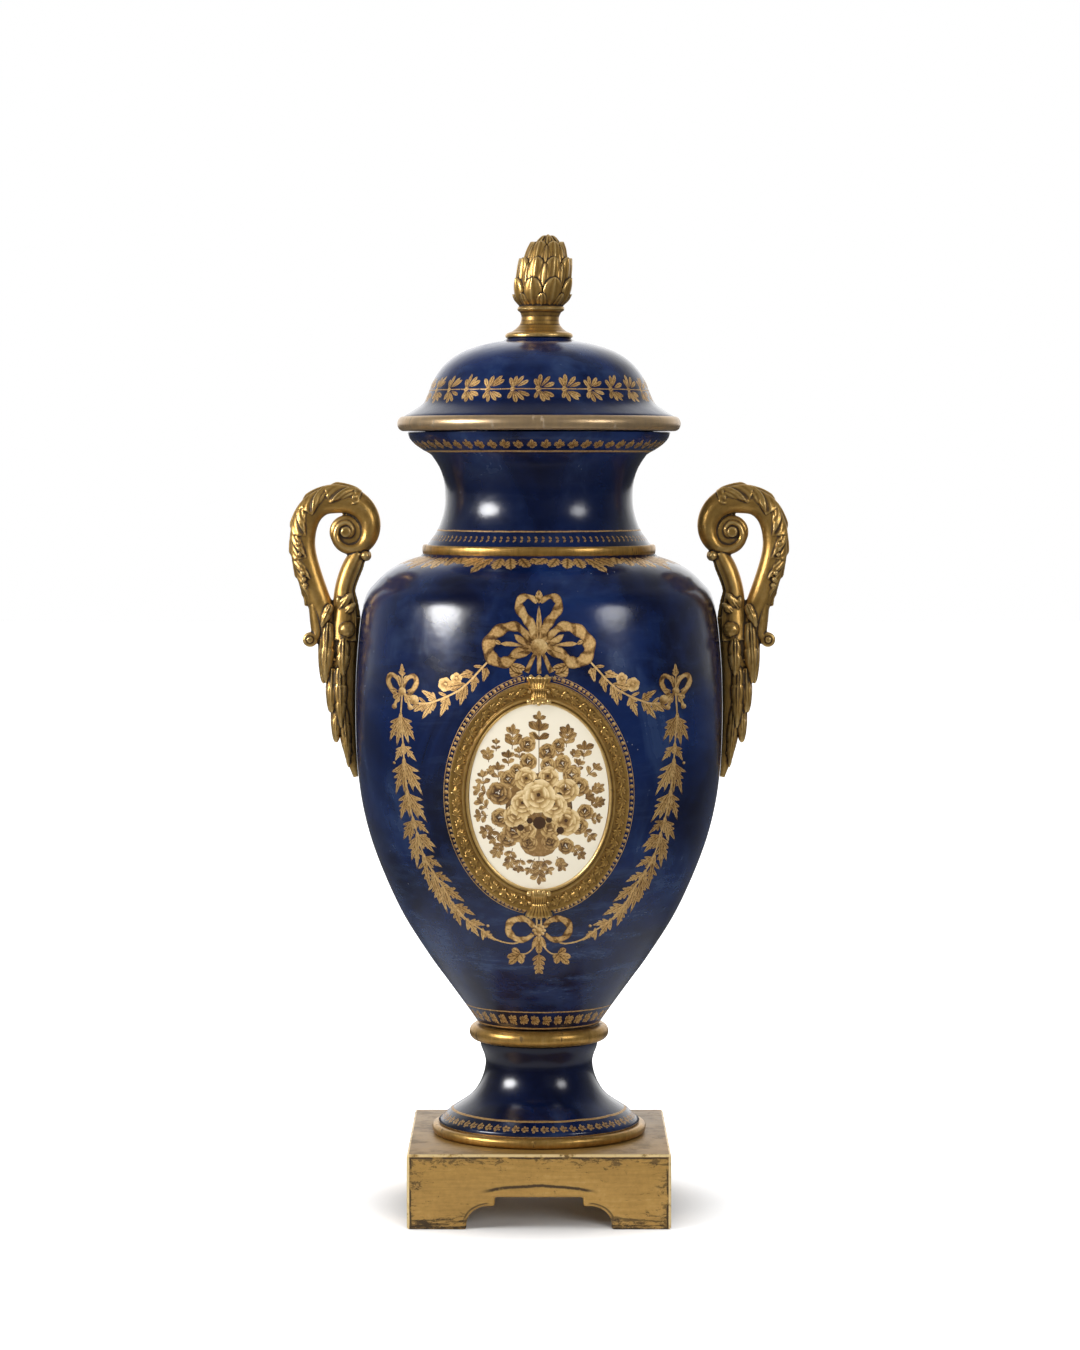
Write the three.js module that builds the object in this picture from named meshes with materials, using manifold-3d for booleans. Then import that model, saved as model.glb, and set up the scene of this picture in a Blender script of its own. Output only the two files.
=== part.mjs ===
// A covered mantel urn: cobalt porcelain body, foot and lid, with gilt bronze plinth, rings, scroll handles,
// pine cone finial and an oval framed plaque on the front. Millimetres, +Z up, -Y is the front.
// The origin is at the centre of the plinth's underside.
import * as THREE from "three";
import { mergeVertices } from "three/addons/utils/BufferGeometryUtils.js";
import Module from "manifold-3d";

const wasm = await Module();
wasm.setup();

// Driving dimensions
const PLINTH_WIDTH = 129;
const PLINTH_HEIGHT = 37;
const PLINTH_WALL = 5;
const PLINTH_TOP_PLATE = 8;
const WALL = 5;
const FOOT_RING_RADIUS = 53.8;
const FOOT_RING_HEIGHT = 4.8;
const FOOT_SEAT_RADIUS = 49.7;
const COLLAR_RADIUS = 35;
const COLLAR_SEAT_RADIUS = 29.8;
const COLLAR_BOTTOM = 84.2;
const COLLAR_TOP = 92;
const NECK_RING_BOTTOM = 327.6;
const NECK_RING_TOP = 332.6;
const NECK_RING_RADIUS = 58.3;
const NECK_SEAT_RADIUS = 55.4;
const MOUTH_HEIGHT = 388.6;
const RIM_RADIUS = 70.7;
const RIM_TOP = 396.4;
const LID_TOP = 436;
const SOCKET_RADIUS = 16.8;
const LID_EDGE_RADIUS = 67.2;
const FINIAL_TIP = 487.8;
const FINIAL_LEAN = 4.6;
const CLEARANCE = 0.35;
const ROUND_SIDES = 24;
const FINIAL_SIDES = 12;

// Outer profiles as [radius, height], joined by smooth splines
const BELLY = [
  [30.6, 92.9], [36.2, 101], [46.4, 115.1], [55.2, 127.3], [68.4, 148.4], [79.4, 172.6], [86.4, 194],
  [90.4, 217], [91.7, 246], [90.9, 276], [87.5, 304], [81.4, 314], [71.7, 322], [58, 327.4],
];
const NECK = [[NECK_SEAT_RADIUS, 333.2], [50.2, 341], [47.2, 351], [47.2, 362.5], [49.6, 371], [54.3, 378.2]];
const LIP = [[56.6, 379], [61.6, 382.4], [64.6, 385.6], [65.6, MOUTH_HEIGHT]];
const DOME = [
  [17, 434.2], [28.4, 432], [39.2, 428], [47.3, 422], [52.8, 414.2], [55.8, 406.8], [58.6, 402.2],
  [66.8, 397],
];
const FOOT_FLARE = [[29.3, 80.9], [26.9, 73.4], [28.7, 64.4], [33.8, 56.2], [42.4, 50]];

const gilt = new THREE.MeshStandardMaterial({ color: 0xb58a3c, roughness: 0.35, metalness: 1 });
const cobalt = new THREE.MeshStandardMaterial({ color: 0x0a1440, roughness: 0.12, metalness: 0 });
const porcelain = new THREE.MeshStandardMaterial({ color: 0xe9e2d0, roughness: 0.25, metalness: 0 });

// Points along the spline through the given pairs, count steps in all.
function splinePoints(pairs, count) {
  const curve = new THREE.SplineCurve(pairs.map(([r, z]) => new THREE.Vector2(r, z)));
  return curve.getPoints(count);
}

// The same spline moved sideways by distance, to its left when walking along it.
function offsetSpline(pairs, count, distance) {
  const curve = new THREE.SplineCurve(pairs.map(([r, z]) => new THREE.Vector2(r, z)));
  return curve.getPoints(count).map((point, i) => {
    const along = curve.getTangent(i / count);
    return new THREE.Vector2(point.x - along.y * distance, point.y + along.x * distance);
  });
}

const at = (r, z) => new THREE.Vector2(r, z);

// Turns a profile round the vertical axis. A profile that misses the axis is closed on itself.
function revolve(points, sides = ROUND_SIDES) {
  const open = points[0].x < 1e-6 && points[points.length - 1].x < 1e-6;
  const loop = open ? points : [...points, points[0]];
  const area = THREE.ShapeUtils.area(points);
  const ordered = area < 0 ? [...loop].reverse() : loop;
  return new THREE.LatheGeometry(ordered, sides).rotateX(Math.PI / 2);
}

function toSolid(geometry) {
  const bare = geometry.clone();
  bare.deleteAttribute("normal");
  bare.deleteAttribute("uv");
  const merged = mergeVertices(bare, 1e-4);
  const vertProperties = new Float32Array(merged.getAttribute("position").array);
  const triVerts = new Uint32Array(merged.index.array);
  return new wasm.Manifold(new wasm.Mesh({ numProp: 3, vertProperties, triVerts }));
}

function toGeometry(solid) {
  const mesh = solid.getMesh();
  const geometry = new THREE.BufferGeometry();
  geometry.setAttribute("position", new THREE.BufferAttribute(new Float32Array(mesh.vertProperties), 3));
  geometry.setIndex(new THREE.BufferAttribute(new Uint32Array(mesh.triVerts), 1));
  return geometry;
}

const joined = (geometries) => geometries.map(toSolid).reduce((sum, solid) => sum.add(solid));

// A closed skin over a row of rings of points. Each end is a fan round the ring's middle.
function skin(rings) {
  const sides = rings[0].length;
  const positions = [];
  const faces = [];
  const push = (p) => positions.push(p.x, p.y, p.z) / 3 - 1;
  const index = rings.map((ring) => ring.map(push));
  const middle = (ring) => ring.reduce((sum, p) => sum.add(p), new THREE.Vector3()).divideScalar(sides);
  const first = push(middle(rings[0]));
  const last = push(middle(rings[rings.length - 1]));
  for (let j = 0; j < sides; j++) {
    const k = (j + 1) % sides;
    faces.push(first, index[0][k], index[0][j]);
    faces.push(last, index[rings.length - 1][j], index[rings.length - 1][k]);
    for (let i = 0; i + 1 < rings.length; i++) {
      faces.push(index[i][j], index[i][k], index[i + 1][k]);
      faces.push(index[i][j], index[i + 1][k], index[i + 1][j]);
    }
  }
  const geometry = new THREE.BufferGeometry();
  geometry.setAttribute("position", new THREE.Float32BufferAttribute(positions, 3));
  geometry.setIndex(faces);
  return geometry;
}

// The plinth: a hollow square block. An arched opening under each side leaves a bracket foot at each corner.
const EDGE_ROUNDING = 0.9;
const OPENING_FOOT = 35.4;
const OPENING_STEP = 24.6;
const OPENING_TOP_HALF = 21.6;
const OPENING_STEP_HEIGHT = 11.4;
const OPENING_HEIGHT = 15.8;
const OPENING_SPRING = 2.6;

function plinthOpening() {
  const outline = new THREE.Shape();
  outline.moveTo(-OPENING_FOOT, -1);
  outline.lineTo(OPENING_FOOT, -1);
  outline.lineTo(OPENING_FOOT, OPENING_SPRING);
  const rise = OPENING_STEP_HEIGHT - OPENING_SPRING;
  const reach = OPENING_FOOT - OPENING_STEP;
  outline.absellipse(OPENING_STEP, OPENING_SPRING, reach, rise, 0, Math.PI / 2, false, 0);
  outline.lineTo(OPENING_TOP_HALF, OPENING_STEP_HEIGHT);
  outline.lineTo(OPENING_TOP_HALF, OPENING_HEIGHT);
  outline.lineTo(-OPENING_TOP_HALF, OPENING_HEIGHT);
  outline.lineTo(-OPENING_TOP_HALF, OPENING_STEP_HEIGHT);
  outline.lineTo(-OPENING_STEP, OPENING_STEP_HEIGHT);
  outline.absellipse(-OPENING_STEP, OPENING_SPRING, reach, rise, Math.PI / 2, Math.PI, false, 0);
  const depth = PLINTH_WIDTH + 20;
  const cut = new THREE.ExtrudeGeometry(outline, { depth, bevelEnabled: false, curveSegments: 4 });
  return cut.translate(0, 0, -depth / 2).rotateX(Math.PI / 2);
}

function squareBlock(width, bottom, top, rounding) {
  const half = width / 2 - rounding;
  const square = new THREE.Shape();
  square.moveTo(-half, -half).lineTo(half, -half).lineTo(half, half).lineTo(-half, half).lineTo(-half, -half);
  const block = new THREE.ExtrudeGeometry(square, {
    depth: top - bottom - 2 * rounding,
    bevelEnabled: rounding > 0,
    bevelThickness: rounding,
    bevelSize: rounding,
    bevelSegments: 1,
  });
  return block.translate(0, 0, bottom + rounding);
}

function plinthGeometry() {
  const block = toSolid(squareBlock(PLINTH_WIDTH, 0, PLINTH_HEIGHT, EDGE_ROUNDING));
  const inside = squareBlock(PLINTH_WIDTH - 2 * PLINTH_WALL, -5, PLINTH_HEIGHT - PLINTH_TOP_PLATE, 0);
  const opening = plinthOpening();
  const across = opening.clone().rotateZ(Math.PI / 2);
  return toGeometry(block.subtract(toSolid(inside)).subtract(toSolid(opening)).subtract(toSolid(across)));
}

// The foot: a flared porcelain pedestal, hollow below, standing inside a gilt base ring
const FOOT_STEP = [[44.6, 48.7], [50.6, 43.4]];
const FOOT_HOLLOW = [[43.2, 43.6], [30, 51.8], [23.9, 61]];

function footGeometry() {
  const outer = [
    at(0, COLLAR_BOTTOM),
    at(COLLAR_SEAT_RADIUS, COLLAR_BOTTOM),
    ...splinePoints(FOOT_FLARE, 4),
    ...FOOT_STEP.map(([r, z]) => at(r, z)),
    at(FOOT_SEAT_RADIUS, PLINTH_HEIGHT + FOOT_RING_HEIGHT + 0.6),
    at(FOOT_SEAT_RADIUS, PLINTH_HEIGHT),
  ];
  const inner = [
    at(FOOT_SEAT_RADIUS - WALL, PLINTH_HEIGHT),
    ...FOOT_HOLLOW.map(([r, z]) => at(r, z)),
    at(FOOT_HOLLOW[2][0] - 2, COLLAR_BOTTOM - WALL),
    at(0, COLLAR_BOTTOM - WALL),
  ];
  return revolve([...outer, ...inner]);
}

function footRingGeometry() {
  const inner = FOOT_SEAT_RADIUS + CLEARANCE;
  const top = PLINTH_HEIGHT + FOOT_RING_HEIGHT;
  return revolve([
    at(inner, PLINTH_HEIGHT),
    at(FOOT_RING_RADIUS - 0.8, PLINTH_HEIGHT),
    at(FOOT_RING_RADIUS, PLINTH_HEIGHT + FOOT_RING_HEIGHT / 2),
    at(FOOT_RING_RADIUS - 1.2, top),
    at(inner, top),
  ]);
}

// The collar between foot and body, a turned disc with a rounded edge
const COLLAR_ROUNDING = 4.6;

function collarGeometry() {
  const middle = (COLLAR_BOTTOM + COLLAR_TOP) / 2;
  const edge = [-60, 0, 60].map((degrees) => {
    const turn = THREE.MathUtils.degToRad(degrees);
    const out = COLLAR_RADIUS - COLLAR_ROUNDING * (1 - Math.cos(turn));
    return at(out, middle + (COLLAR_TOP - middle) * 0.95 * Math.sin(turn));
  });
  return revolve([
    at(0, COLLAR_BOTTOM),
    at(COLLAR_SEAT_RADIUS, COLLAR_BOTTOM),
    ...edge,
    at(COLLAR_SEAT_RADIUS, COLLAR_TOP),
    at(0, COLLAR_TOP),
  ]);
}

// The body: one hollow porcelain vessel, open at the mouth, with a gilt ring on the shoulder
const MOUTH_RADIUS = 57.8;
const MOUTH_SEAT = [56.6, 383];
const FLOOR_HEIGHT = COLLAR_TOP + WALL + 1.4;

function bodyGeometry() {
  const outer = [
    at(0, COLLAR_TOP),
    at(COLLAR_SEAT_RADIUS, COLLAR_TOP),
    ...splinePoints(BELLY, BELLY.length - 1),
    at(NECK_SEAT_RADIUS, NECK_RING_BOTTOM),
    ...splinePoints(NECK, 4),
    ...LIP.map(([r, z]) => at(r, z)),
  ];
  const inner = [
    at(MOUTH_RADIUS, MOUTH_HEIGHT),
    at(...MOUTH_SEAT),
    ...offsetSpline(NECK, 2, WALL).reverse(),
    ...offsetSpline(BELLY, 7, WALL).reverse(),
    at(0, FLOOR_HEIGHT),
  ];
  return revolve([...outer, ...inner]);
}

function neckRingGeometry() {
  const inner = NECK_SEAT_RADIUS + CLEARANCE;
  return revolve([
    at(inner, NECK_RING_BOTTOM),
    at(NECK_RING_RADIUS - 0.3, NECK_RING_BOTTOM),
    at(NECK_RING_RADIUS, (NECK_RING_BOTTOM + NECK_RING_TOP) / 2),
    at(NECK_RING_RADIUS - 0.6, NECK_RING_TOP - 0.5),
    at(inner + 0.6, NECK_RING_TOP),
    at(inner, NECK_RING_TOP),
  ]);
}

// The lid: a hollow dome with a flange that drops into the mouth, and its gilt rim
const FLANGE_RADIUS = 55.4;
const FLANGE_DEPTH = 5;
const LID_HOLLOW = [[28, 427], [41, 420], [48.2, 411]];

function lidGeometry() {
  const outer = [
    at(LID_EDGE_RADIUS, MOUTH_HEIGHT),
    at(LID_EDGE_RADIUS, RIM_TOP - 0.3),
    ...splinePoints(DOME, 6).reverse(),
    at(SOCKET_RADIUS, LID_TOP),
    at(0, LID_TOP),
  ];
  const inner = [
    at(0, LID_TOP - 2 * WALL),
    ...LID_HOLLOW.map(([r, z]) => at(r, z)),
    at(FLANGE_RADIUS - WALL + 0.8, MOUTH_HEIGHT - FLANGE_DEPTH),
    at(FLANGE_RADIUS, MOUTH_HEIGHT - FLANGE_DEPTH),
    at(FLANGE_RADIUS, MOUTH_HEIGHT),
  ];
  return revolve([...inner, ...outer]);
}

function lidRimGeometry() {
  const inner = LID_EDGE_RADIUS + CLEARANCE;
  const middle = (MOUTH_HEIGHT + RIM_TOP) / 2;
  return revolve([
    at(inner, MOUTH_HEIGHT),
    at(RIM_RADIUS - 1.5, MOUTH_HEIGHT + 0.1),
    at(RIM_RADIUS - 0.2, middle - 2),
    at(RIM_RADIUS, middle),
    at(RIM_RADIUS - 0.6, middle + 2),
    at(RIM_RADIUS - 2, RIM_TOP),
    at(inner, RIM_TOP),
  ]);
}

// The finial: a turned socket and a cone of overlapping scales, leaning a little to one side
const SOCKET = [
  [0, LID_TOP], [SOCKET_RADIUS, LID_TOP], [SOCKET_RADIUS, 437.4], [11.8, 440], [9.4, 443],
  [9.4, 446.8], [11.6, 449.2], [11.6, 450.6], [10.2, 451.4],
];
const CONE = [[10.2, 452.4], [12.8, 457], [13, 463], [11.6, 470], [9.2, 477], [5.6, 483.6], [0, FINIAL_TIP]];
const LEAN_BEND = 1.2;
// Each row of scales: number, height of the foot, length, half width and thickness, and the distance from the
// axis at foot and tip
const SCALE_ROWS = [
  { count: 8, foot: 450.6, length: 15, half: 5.2, thick: 2.6, near: 9.4, far: 13.8 },
  { count: 8, foot: 457, length: 20, half: 5, thick: 2.6, near: 11.4, far: 10.6 },
  { count: 6, foot: 468, length: 16, half: 4.6, thick: 2.4, near: 9.2, far: 6.6 },
];

function scaleGeometry(row) {
  const rise = row.length;
  const lean = Math.atan2(row.far - row.near, rise);
  const scale = new THREE.OctahedronGeometry(1).scale(row.half, row.thick, rise / 2);
  return scale.rotateX(lean).translate(0, -(row.near + row.far) / 2, row.foot + rise / 2);
}

function finialGeometry() {
  const core = revolve([...SOCKET.map(([r, z]) => at(r, z)), ...splinePoints(CONE, 4)], FINIAL_SIDES);
  const scales = SCALE_ROWS.flatMap((row, level) => {
    const one = scaleGeometry(row);
    return Array.from({ length: row.count }, (_, i) => {
      return one.clone().rotateZ(((i + (level % 2) / 2) / row.count) * 2 * Math.PI);
    });
  });
  const geometry = toGeometry(joined([core, ...scales]));
  const position = geometry.getAttribute("position");
  for (let i = 0; i < position.count; i++) {
    const share = Math.max(0, (position.getZ(i) - LID_TOP) / (FINIAL_TIP - LID_TOP));
    position.setX(i, position.getX(i) + FINIAL_LEAN * share ** LEAN_BEND);
  }
  return geometry;
}

// The handles: a scroll rises from the side and rolls into a volute over a fluted stem, with leaves hanging below.
// A station is [distance from the urn's axis, height, half depth in the scroll's plane, half width across it].
const SCROLL = [
  [103, 279, 5.5, 8], [105.5, 290, 6.6, 7.6], [108.5, 299, 7.2, 7], [111.6, 305, 7.6, 6.6],
  [116, 316.5, 7.7, 6.6], [118.6, 326.5, 7.4, 6.6], [119.4, 334.4, 7.3, 6.6], [118.4, 342.6, 7.5, 6.6],
  [115.2, 350, 7.6, 6.6], [109.4, 354.6, 7.4, 6.5], [102, 355.6, 7.2, 6.4], [94.4, 354.6, 6.8, 6.2],
  [88, 350.4, 6.2, 6], [84.6, 343.8, 5.5, 5.8], [85, 336.8, 4.7, 5.6], [88.6, 331.8, 3.9, 5.4],
  [94, 330.4, 3.1, 5.2], [99, 332.4, 2.8, 5], [101.4, 336.9, 2.7, 4.9], [100, 341.8, 2.5, 4.8],
  [96, 343.6, 2.3, 4.8], [93.2, 340.9, 2.1, 4.9], [93.8, 337.6, 2, 5], [96.6, 337.4, 1.8, 5.1],
];
const STEM = [
  [90, 328.6, 4, 4.8], [92.6, 322.8, 5.2, 5.6], [95.2, 316.6, 5.3, 6], [97, 310, 5.3, 6.2],
  [97.4, 303.6, 5.8, 6.8], [97.6, 295, 6.6, 8], [98.6, 285, 6.2, 9],
];
const DROP = [
  [99.6, 296, 5, 6.4], [100, 284, 7.4, 8.6], [100, 271, 6.8, 8.8], [98.8, 258, 5.8, 7.6], [97.6, 246, 5, 6.4],
  [96.2, 234, 3.8, 4.8], [94.4, 225, 2.2, 3.2], [92.6, 216.2, 0.5, 0.8],
];
// Each leaf: foot and tip as [distance, height], half thickness, half width, and its offset from the plane
const LEAVES = [
  { foot: [103, 290], tip: [107.4, 262.6], thick: 4.4, half: 6, offset: 0 },
  { foot: [102.6, 268], tip: [100.8, 234], thick: 4.4, half: 5.4, offset: 0 },
  { foot: [96.6, 299], tip: [97, 268], thick: 6, half: 4.4, offset: 6.6 },
  { foot: [98.6, 275], tip: [98, 247], thick: 5.4, half: 4, offset: 6.6 },
  { foot: [97, 255], tip: [95.4, 228], thick: 4.4, half: 3.2, offset: 4.6 },
];
const CURL = { distance: 115, height: 285.2, radius: 3.6, half: 4.4 };
const CURL_STEM = [[112.4, 303, 3, 5], [110.6, 294, 4, 5], [110.8, 288, 3.4, 4.6], [113.4, 283.8, 2, 4.2]];
const VOLUTE = { distance: 96.3, height: 339, radius: 8.4, half: 3.6, eye: 2.6, eyeHalf: 5.9 };
// The free tip of the leaf that wraps the outside of the scroll
const WRAP_TIP = { foot: [121, 318], tip: [116.6, 299], thick: 2.8, half: 4.8, offset: 0 };

// Half sections as [outward, across] shares: the fluted one has a round rib inside and a broad leaf outside
const FLUTED = [[1, 0], [0.65, 0.8], [0, 0.92], [-0.2, 0.5], [-0.6, 0.62], [-1, 0.25]];
const OVAL = [[1, 0], [0.5, 0.86], [-0.5, 0.86], [-1, 0]];

// Rings of a section along a path in the scroll's plane.
function pathRings(stations, count, half) {
  const mirrored = half.filter(([, wide]) => wide > 0).reverse().map(([out, wide]) => [out, -wide]);
  const section = [...half, ...mirrored];
  const centre = new THREE.CatmullRomCurve3(stations.map(([x, z]) => new THREE.Vector3(x, 0, z)));
  const sizes = new THREE.CatmullRomCurve3(stations.map(([, , deep, wide]) => new THREE.Vector3(deep, wide, 0)));
  const across = new THREE.Vector3(0, 1, 0);
  return Array.from({ length: count + 1 }, (_, i) => {
    const t = i / count;
    const p = centre.getPoint(t);
    const size = sizes.getPoint(t);
    const normal = new THREE.Vector3().crossVectors(across, centre.getTangent(t)).normalize();
    return section.map(([out, wide]) => {
      return p.clone().addScaledVector(normal, size.x * out).addScaledVector(across, size.y * wide);
    });
  });
}

function leafGeometry({ foot, tip, thick, half, offset }) {
  const run = new THREE.Vector2(tip[0] - foot[0], tip[1] - foot[1]);
  const leaf = new THREE.OctahedronGeometry(1).scale(thick, half, run.length() / 2);
  const middle = [(foot[0] + tip[0]) / 2, (foot[1] + tip[1]) / 2];
  return leaf.rotateY(Math.atan2(run.x, run.y)).translate(middle[0], offset, middle[1]);
}

const bothSides = (leaf) => (leaf.offset ? [leaf, { ...leaf, offset: -leaf.offset }] : [leaf]);

// The belly as a solid, grown by a clearance: what stands on the belly is cut by it.
function bellySolid(growth) {
  const [foot, shoulder] = [BELLY[0], BELLY[BELLY.length - 1]];
  const side = offsetSpline(BELLY, BELLY.length - 1, -growth);
  return toSolid(revolve([at(0, foot[1]), ...side, at(0, shoulder[1])]));
}

const drum = (radius, half) => new THREE.CylinderGeometry(radius, radius, 2 * half, 10);

function handleGeometry() {
  const parts = [
    skin(pathRings(SCROLL, 24, FLUTED)),
    skin(pathRings(STEM, 5, FLUTED)),
    skin(pathRings(DROP, 6, OVAL)),
    skin(pathRings(CURL_STEM, 2, OVAL)),
    drum(CURL.radius, CURL.half).translate(CURL.distance, 0, CURL.height),
    drum(VOLUTE.radius, VOLUTE.half).translate(VOLUTE.distance, 0, VOLUTE.height),
    drum(VOLUTE.eye, VOLUTE.eyeHalf).translate(VOLUTE.distance, 0, VOLUTE.height),
    ...LEAVES.flatMap(bothSides).map(leafGeometry),
    leafGeometry(WRAP_TIP),
  ];
  return toGeometry(joined(parts).subtract(bellySolid(CLEARANCE)));
}

// The framed plaque follows the belly. A place on it is [x, height], with a lift off the glaze.
const PLAQUE_CENTRE = 214;
const PLAQUE_HALF_WIDTH = 33.4;
const PLAQUE_HALF_HEIGHT = 46;
const PLAQUE_LIFT = 2;
const FRAME_WIDTH = 10.3;
const FRAME_SECTION = [[-2, -1], [-2, 2.8], [1.8, 3.2], [3, 2.4], [6.4, 3.4], [8.8, 4.6], [10.3, 2.8], [10.3, -1]];
const FRAME_STEPS = 26;
const CLASP_OUTLINE = [[-4.2, -11], [4.2, -11], [3.6, -4.6], [6, 1.6], [-6, 1.6], [-3.6, -4.6]];
const CLASP_LIFT = 5.2;

const bellyCurve = new THREE.SplineCurve(BELLY.map(([r, z]) => new THREE.Vector2(r, z)));
const bellySamples = bellyCurve.getPoints(400);

function onBelly(x, z, lift) {
  const i = Math.max(1, bellySamples.findIndex((p) => p.y >= z));
  const [below, above] = [bellySamples[i - 1], bellySamples[i]];
  const share = (z - below.y) / (above.y - below.y);
  const radius = below.x + (above.x - below.x) * share;
  const slope = Math.atan2(above.x - below.x, above.y - below.y);
  const turn = Math.asin(x / radius);
  const out = radius + lift * Math.cos(slope);
  return new THREE.Vector3(out * Math.sin(turn), -out * Math.cos(turn), z - lift * Math.sin(slope));
}

const ovalPlace = (turn, widening) => [
  (PLAQUE_HALF_WIDTH + widening) * Math.cos(turn),
  PLAQUE_CENTRE + (PLAQUE_HALF_HEIGHT + widening) * Math.sin(turn),
];

function claspGeometry(direction) {
  const end = PLAQUE_CENTRE + direction * (PLAQUE_HALF_HEIGHT + FRAME_WIDTH);
  const ring = (lift) => CLASP_OUTLINE.map(([x, z]) => onBelly(x * direction, end + z * direction, lift));
  return skin([ring(-1), ring(CLASP_LIFT)]);
}

function frameGeometry() {
  const rings = Array.from({ length: FRAME_STEPS + 1 }, (_, i) => {
    const turn = (i / FRAME_STEPS) * 2 * Math.PI;
    return FRAME_SECTION.map(([widening, lift]) => onBelly(...ovalPlace(turn, widening), lift));
  });
  const sides = FRAME_SECTION.length;
  const faces = [];
  const positions = rings.slice(0, FRAME_STEPS).flat().flatMap((p) => [p.x, p.y, p.z]);
  for (let i = 0; i < FRAME_STEPS; i++) {
    const next = (i + 1) % FRAME_STEPS;
    for (let j = 0; j < sides; j++) {
      const k = (j + 1) % sides;
      faces.push(i * sides + j, next * sides + k, next * sides + j);
      faces.push(i * sides + j, i * sides + k, next * sides + k);
    }
  }
  const oval = new THREE.BufferGeometry();
  oval.setAttribute("position", new THREE.Float32BufferAttribute(positions, 3));
  oval.setIndex(faces);
  const frame = joined([oval, claspGeometry(1), claspGeometry(-1)]);
  return toGeometry(frame.subtract(bellySolid(CLEARANCE)).subtract(plaquePrism(CLEARANCE)));
}

// The plaque: a thin curved oval of white porcelain inside the frame
function plaquePrism(growth) {
  const oval = new THREE.Shape();
  oval.absellipse(0, 0, PLAQUE_HALF_WIDTH + growth, PLAQUE_HALF_HEIGHT + growth, 0, 2 * Math.PI);
  const prism = new THREE.ExtrudeGeometry(oval, { depth: 110, bevelEnabled: false, curveSegments: 14 });
  return toSolid(prism.rotateX(Math.PI / 2).translate(0, 0, PLAQUE_CENTRE));
}

function plaqueGeometry() {
  const sheet = bellySolid(PLAQUE_LIFT).subtract(bellySolid(CLEARANCE));
  return toGeometry(sheet.intersect(plaquePrism(0)));
}

const urn = new THREE.Group();
const add = (name, geometry, material) => {
  const mesh = new THREE.Mesh(geometry, material);
  mesh.name = name;
  urn.add(mesh);
  return mesh;
};

add("plinth", plinthGeometry(), gilt);
add("foot", footGeometry(), cobalt);
add("foot_ring", footRingGeometry(), gilt);
add("collar", collarGeometry(), gilt);
add("body", bodyGeometry(), cobalt);
add("neck_ring", neckRingGeometry(), gilt);
add("lid", lidGeometry(), cobalt);
add("lid_rim", lidRimGeometry(), gilt);
add("finial", finialGeometry(), gilt);
add("medallion_frame", frameGeometry(), gilt);
add("medallion_plaque", plaqueGeometry(), porcelain);
const handle = handleGeometry();
add("handle_right", handle, gilt);
add("handle_left", handle, gilt).rotation.z = Math.PI;

export default urn;
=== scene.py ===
"""Visual model of a covered mantel urn in cobalt porcelain with gilt bronze mounts."""
import math
import random

import bmesh
import bpy
import numpy as np
from bpy.props import FloatProperty, FloatVectorProperty, PointerProperty
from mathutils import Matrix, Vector
from mathutils.geometry import delaunay_2d_cdt


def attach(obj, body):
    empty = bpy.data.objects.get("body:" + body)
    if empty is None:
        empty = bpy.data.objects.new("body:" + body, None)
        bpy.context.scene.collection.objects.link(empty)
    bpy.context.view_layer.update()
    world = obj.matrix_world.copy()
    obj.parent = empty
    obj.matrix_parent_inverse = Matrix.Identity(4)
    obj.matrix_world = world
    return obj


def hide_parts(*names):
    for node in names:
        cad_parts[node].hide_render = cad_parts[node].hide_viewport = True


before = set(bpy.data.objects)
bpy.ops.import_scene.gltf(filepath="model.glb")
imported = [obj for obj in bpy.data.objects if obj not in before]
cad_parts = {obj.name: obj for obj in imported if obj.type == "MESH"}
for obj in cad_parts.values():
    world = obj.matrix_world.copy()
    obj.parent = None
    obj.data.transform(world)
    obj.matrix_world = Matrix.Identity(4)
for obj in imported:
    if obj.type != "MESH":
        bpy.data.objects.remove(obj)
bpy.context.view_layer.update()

bl_info = {
    "name": "Mantel urn",
    "version": (1, 0, 0),
    "blender": (4, 5, 0),
    "location": "3D View > Sidebar > Urn",
    "description": "Models a covered porcelain urn with gilt bronze mounts",
    "category": "Add Mesh",
}

MM = 0.001
SMOOTH = math.radians(38)

# Outlines in millimetres, as radius and height.
BELLY = [(30.6, 92.9), (36.2, 101), (46.4, 115.1), (55.2, 127.3), (68.4, 148.4), (79.4, 172.6), (86.4, 194),
         (90.4, 217), (91.7, 246), (90.9, 276), (87.5, 304), (81.4, 314), (71.7, 322), (58, 327.4)]
NECK = [(55.4, 333.2), (50.2, 341), (47.2, 351), (47.2, 362.5), (49.6, 371), (54.3, 378.2)]
LIP = [(56.6, 379), (61.6, 382.4), (64.6, 385.6), (65.6, 388.3)]
DOME = [(17, 434.2), (28.4, 432), (39.2, 428), (47.3, 422), (52.8, 414.2), (55.8, 406.8), (58.6, 402.2),
        (66.8, 397)]
FLARE = [(29.3, 80.9), (26.9, 73.4), (28.7, 64.4), (33.8, 56.2), (42.4, 50)]
# The vessel's wall, and the height of the floor inside it.
WALL, INNER_FLOOR = 5.0, 98.4
# The radius at which widths are true on each vessel's unrolled surface.
BODY_REACH, LID_REACH, FOOT_REACH = 80, 55, 40
PLAQUE_CENTRE, PLAQUE_HALF_WIDTH, PLAQUE_HALF_HEIGHT = 214.0, 33.4, 46.0
PLAQUE_RINGS, PLAQUE_SIDES, PLAQUE_DEPTH = 14, 120, 4.5
FRAME_SIDES, FRAME_LEAVES = 900, 28
FINIAL_FOOT, FINIAL_TIP = 436.0, 487.8
PLINTH_HALF, PLINTH_HEIGHT, PLINTH_HOLLOW = 64.5, 37.0, 29.0
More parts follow.
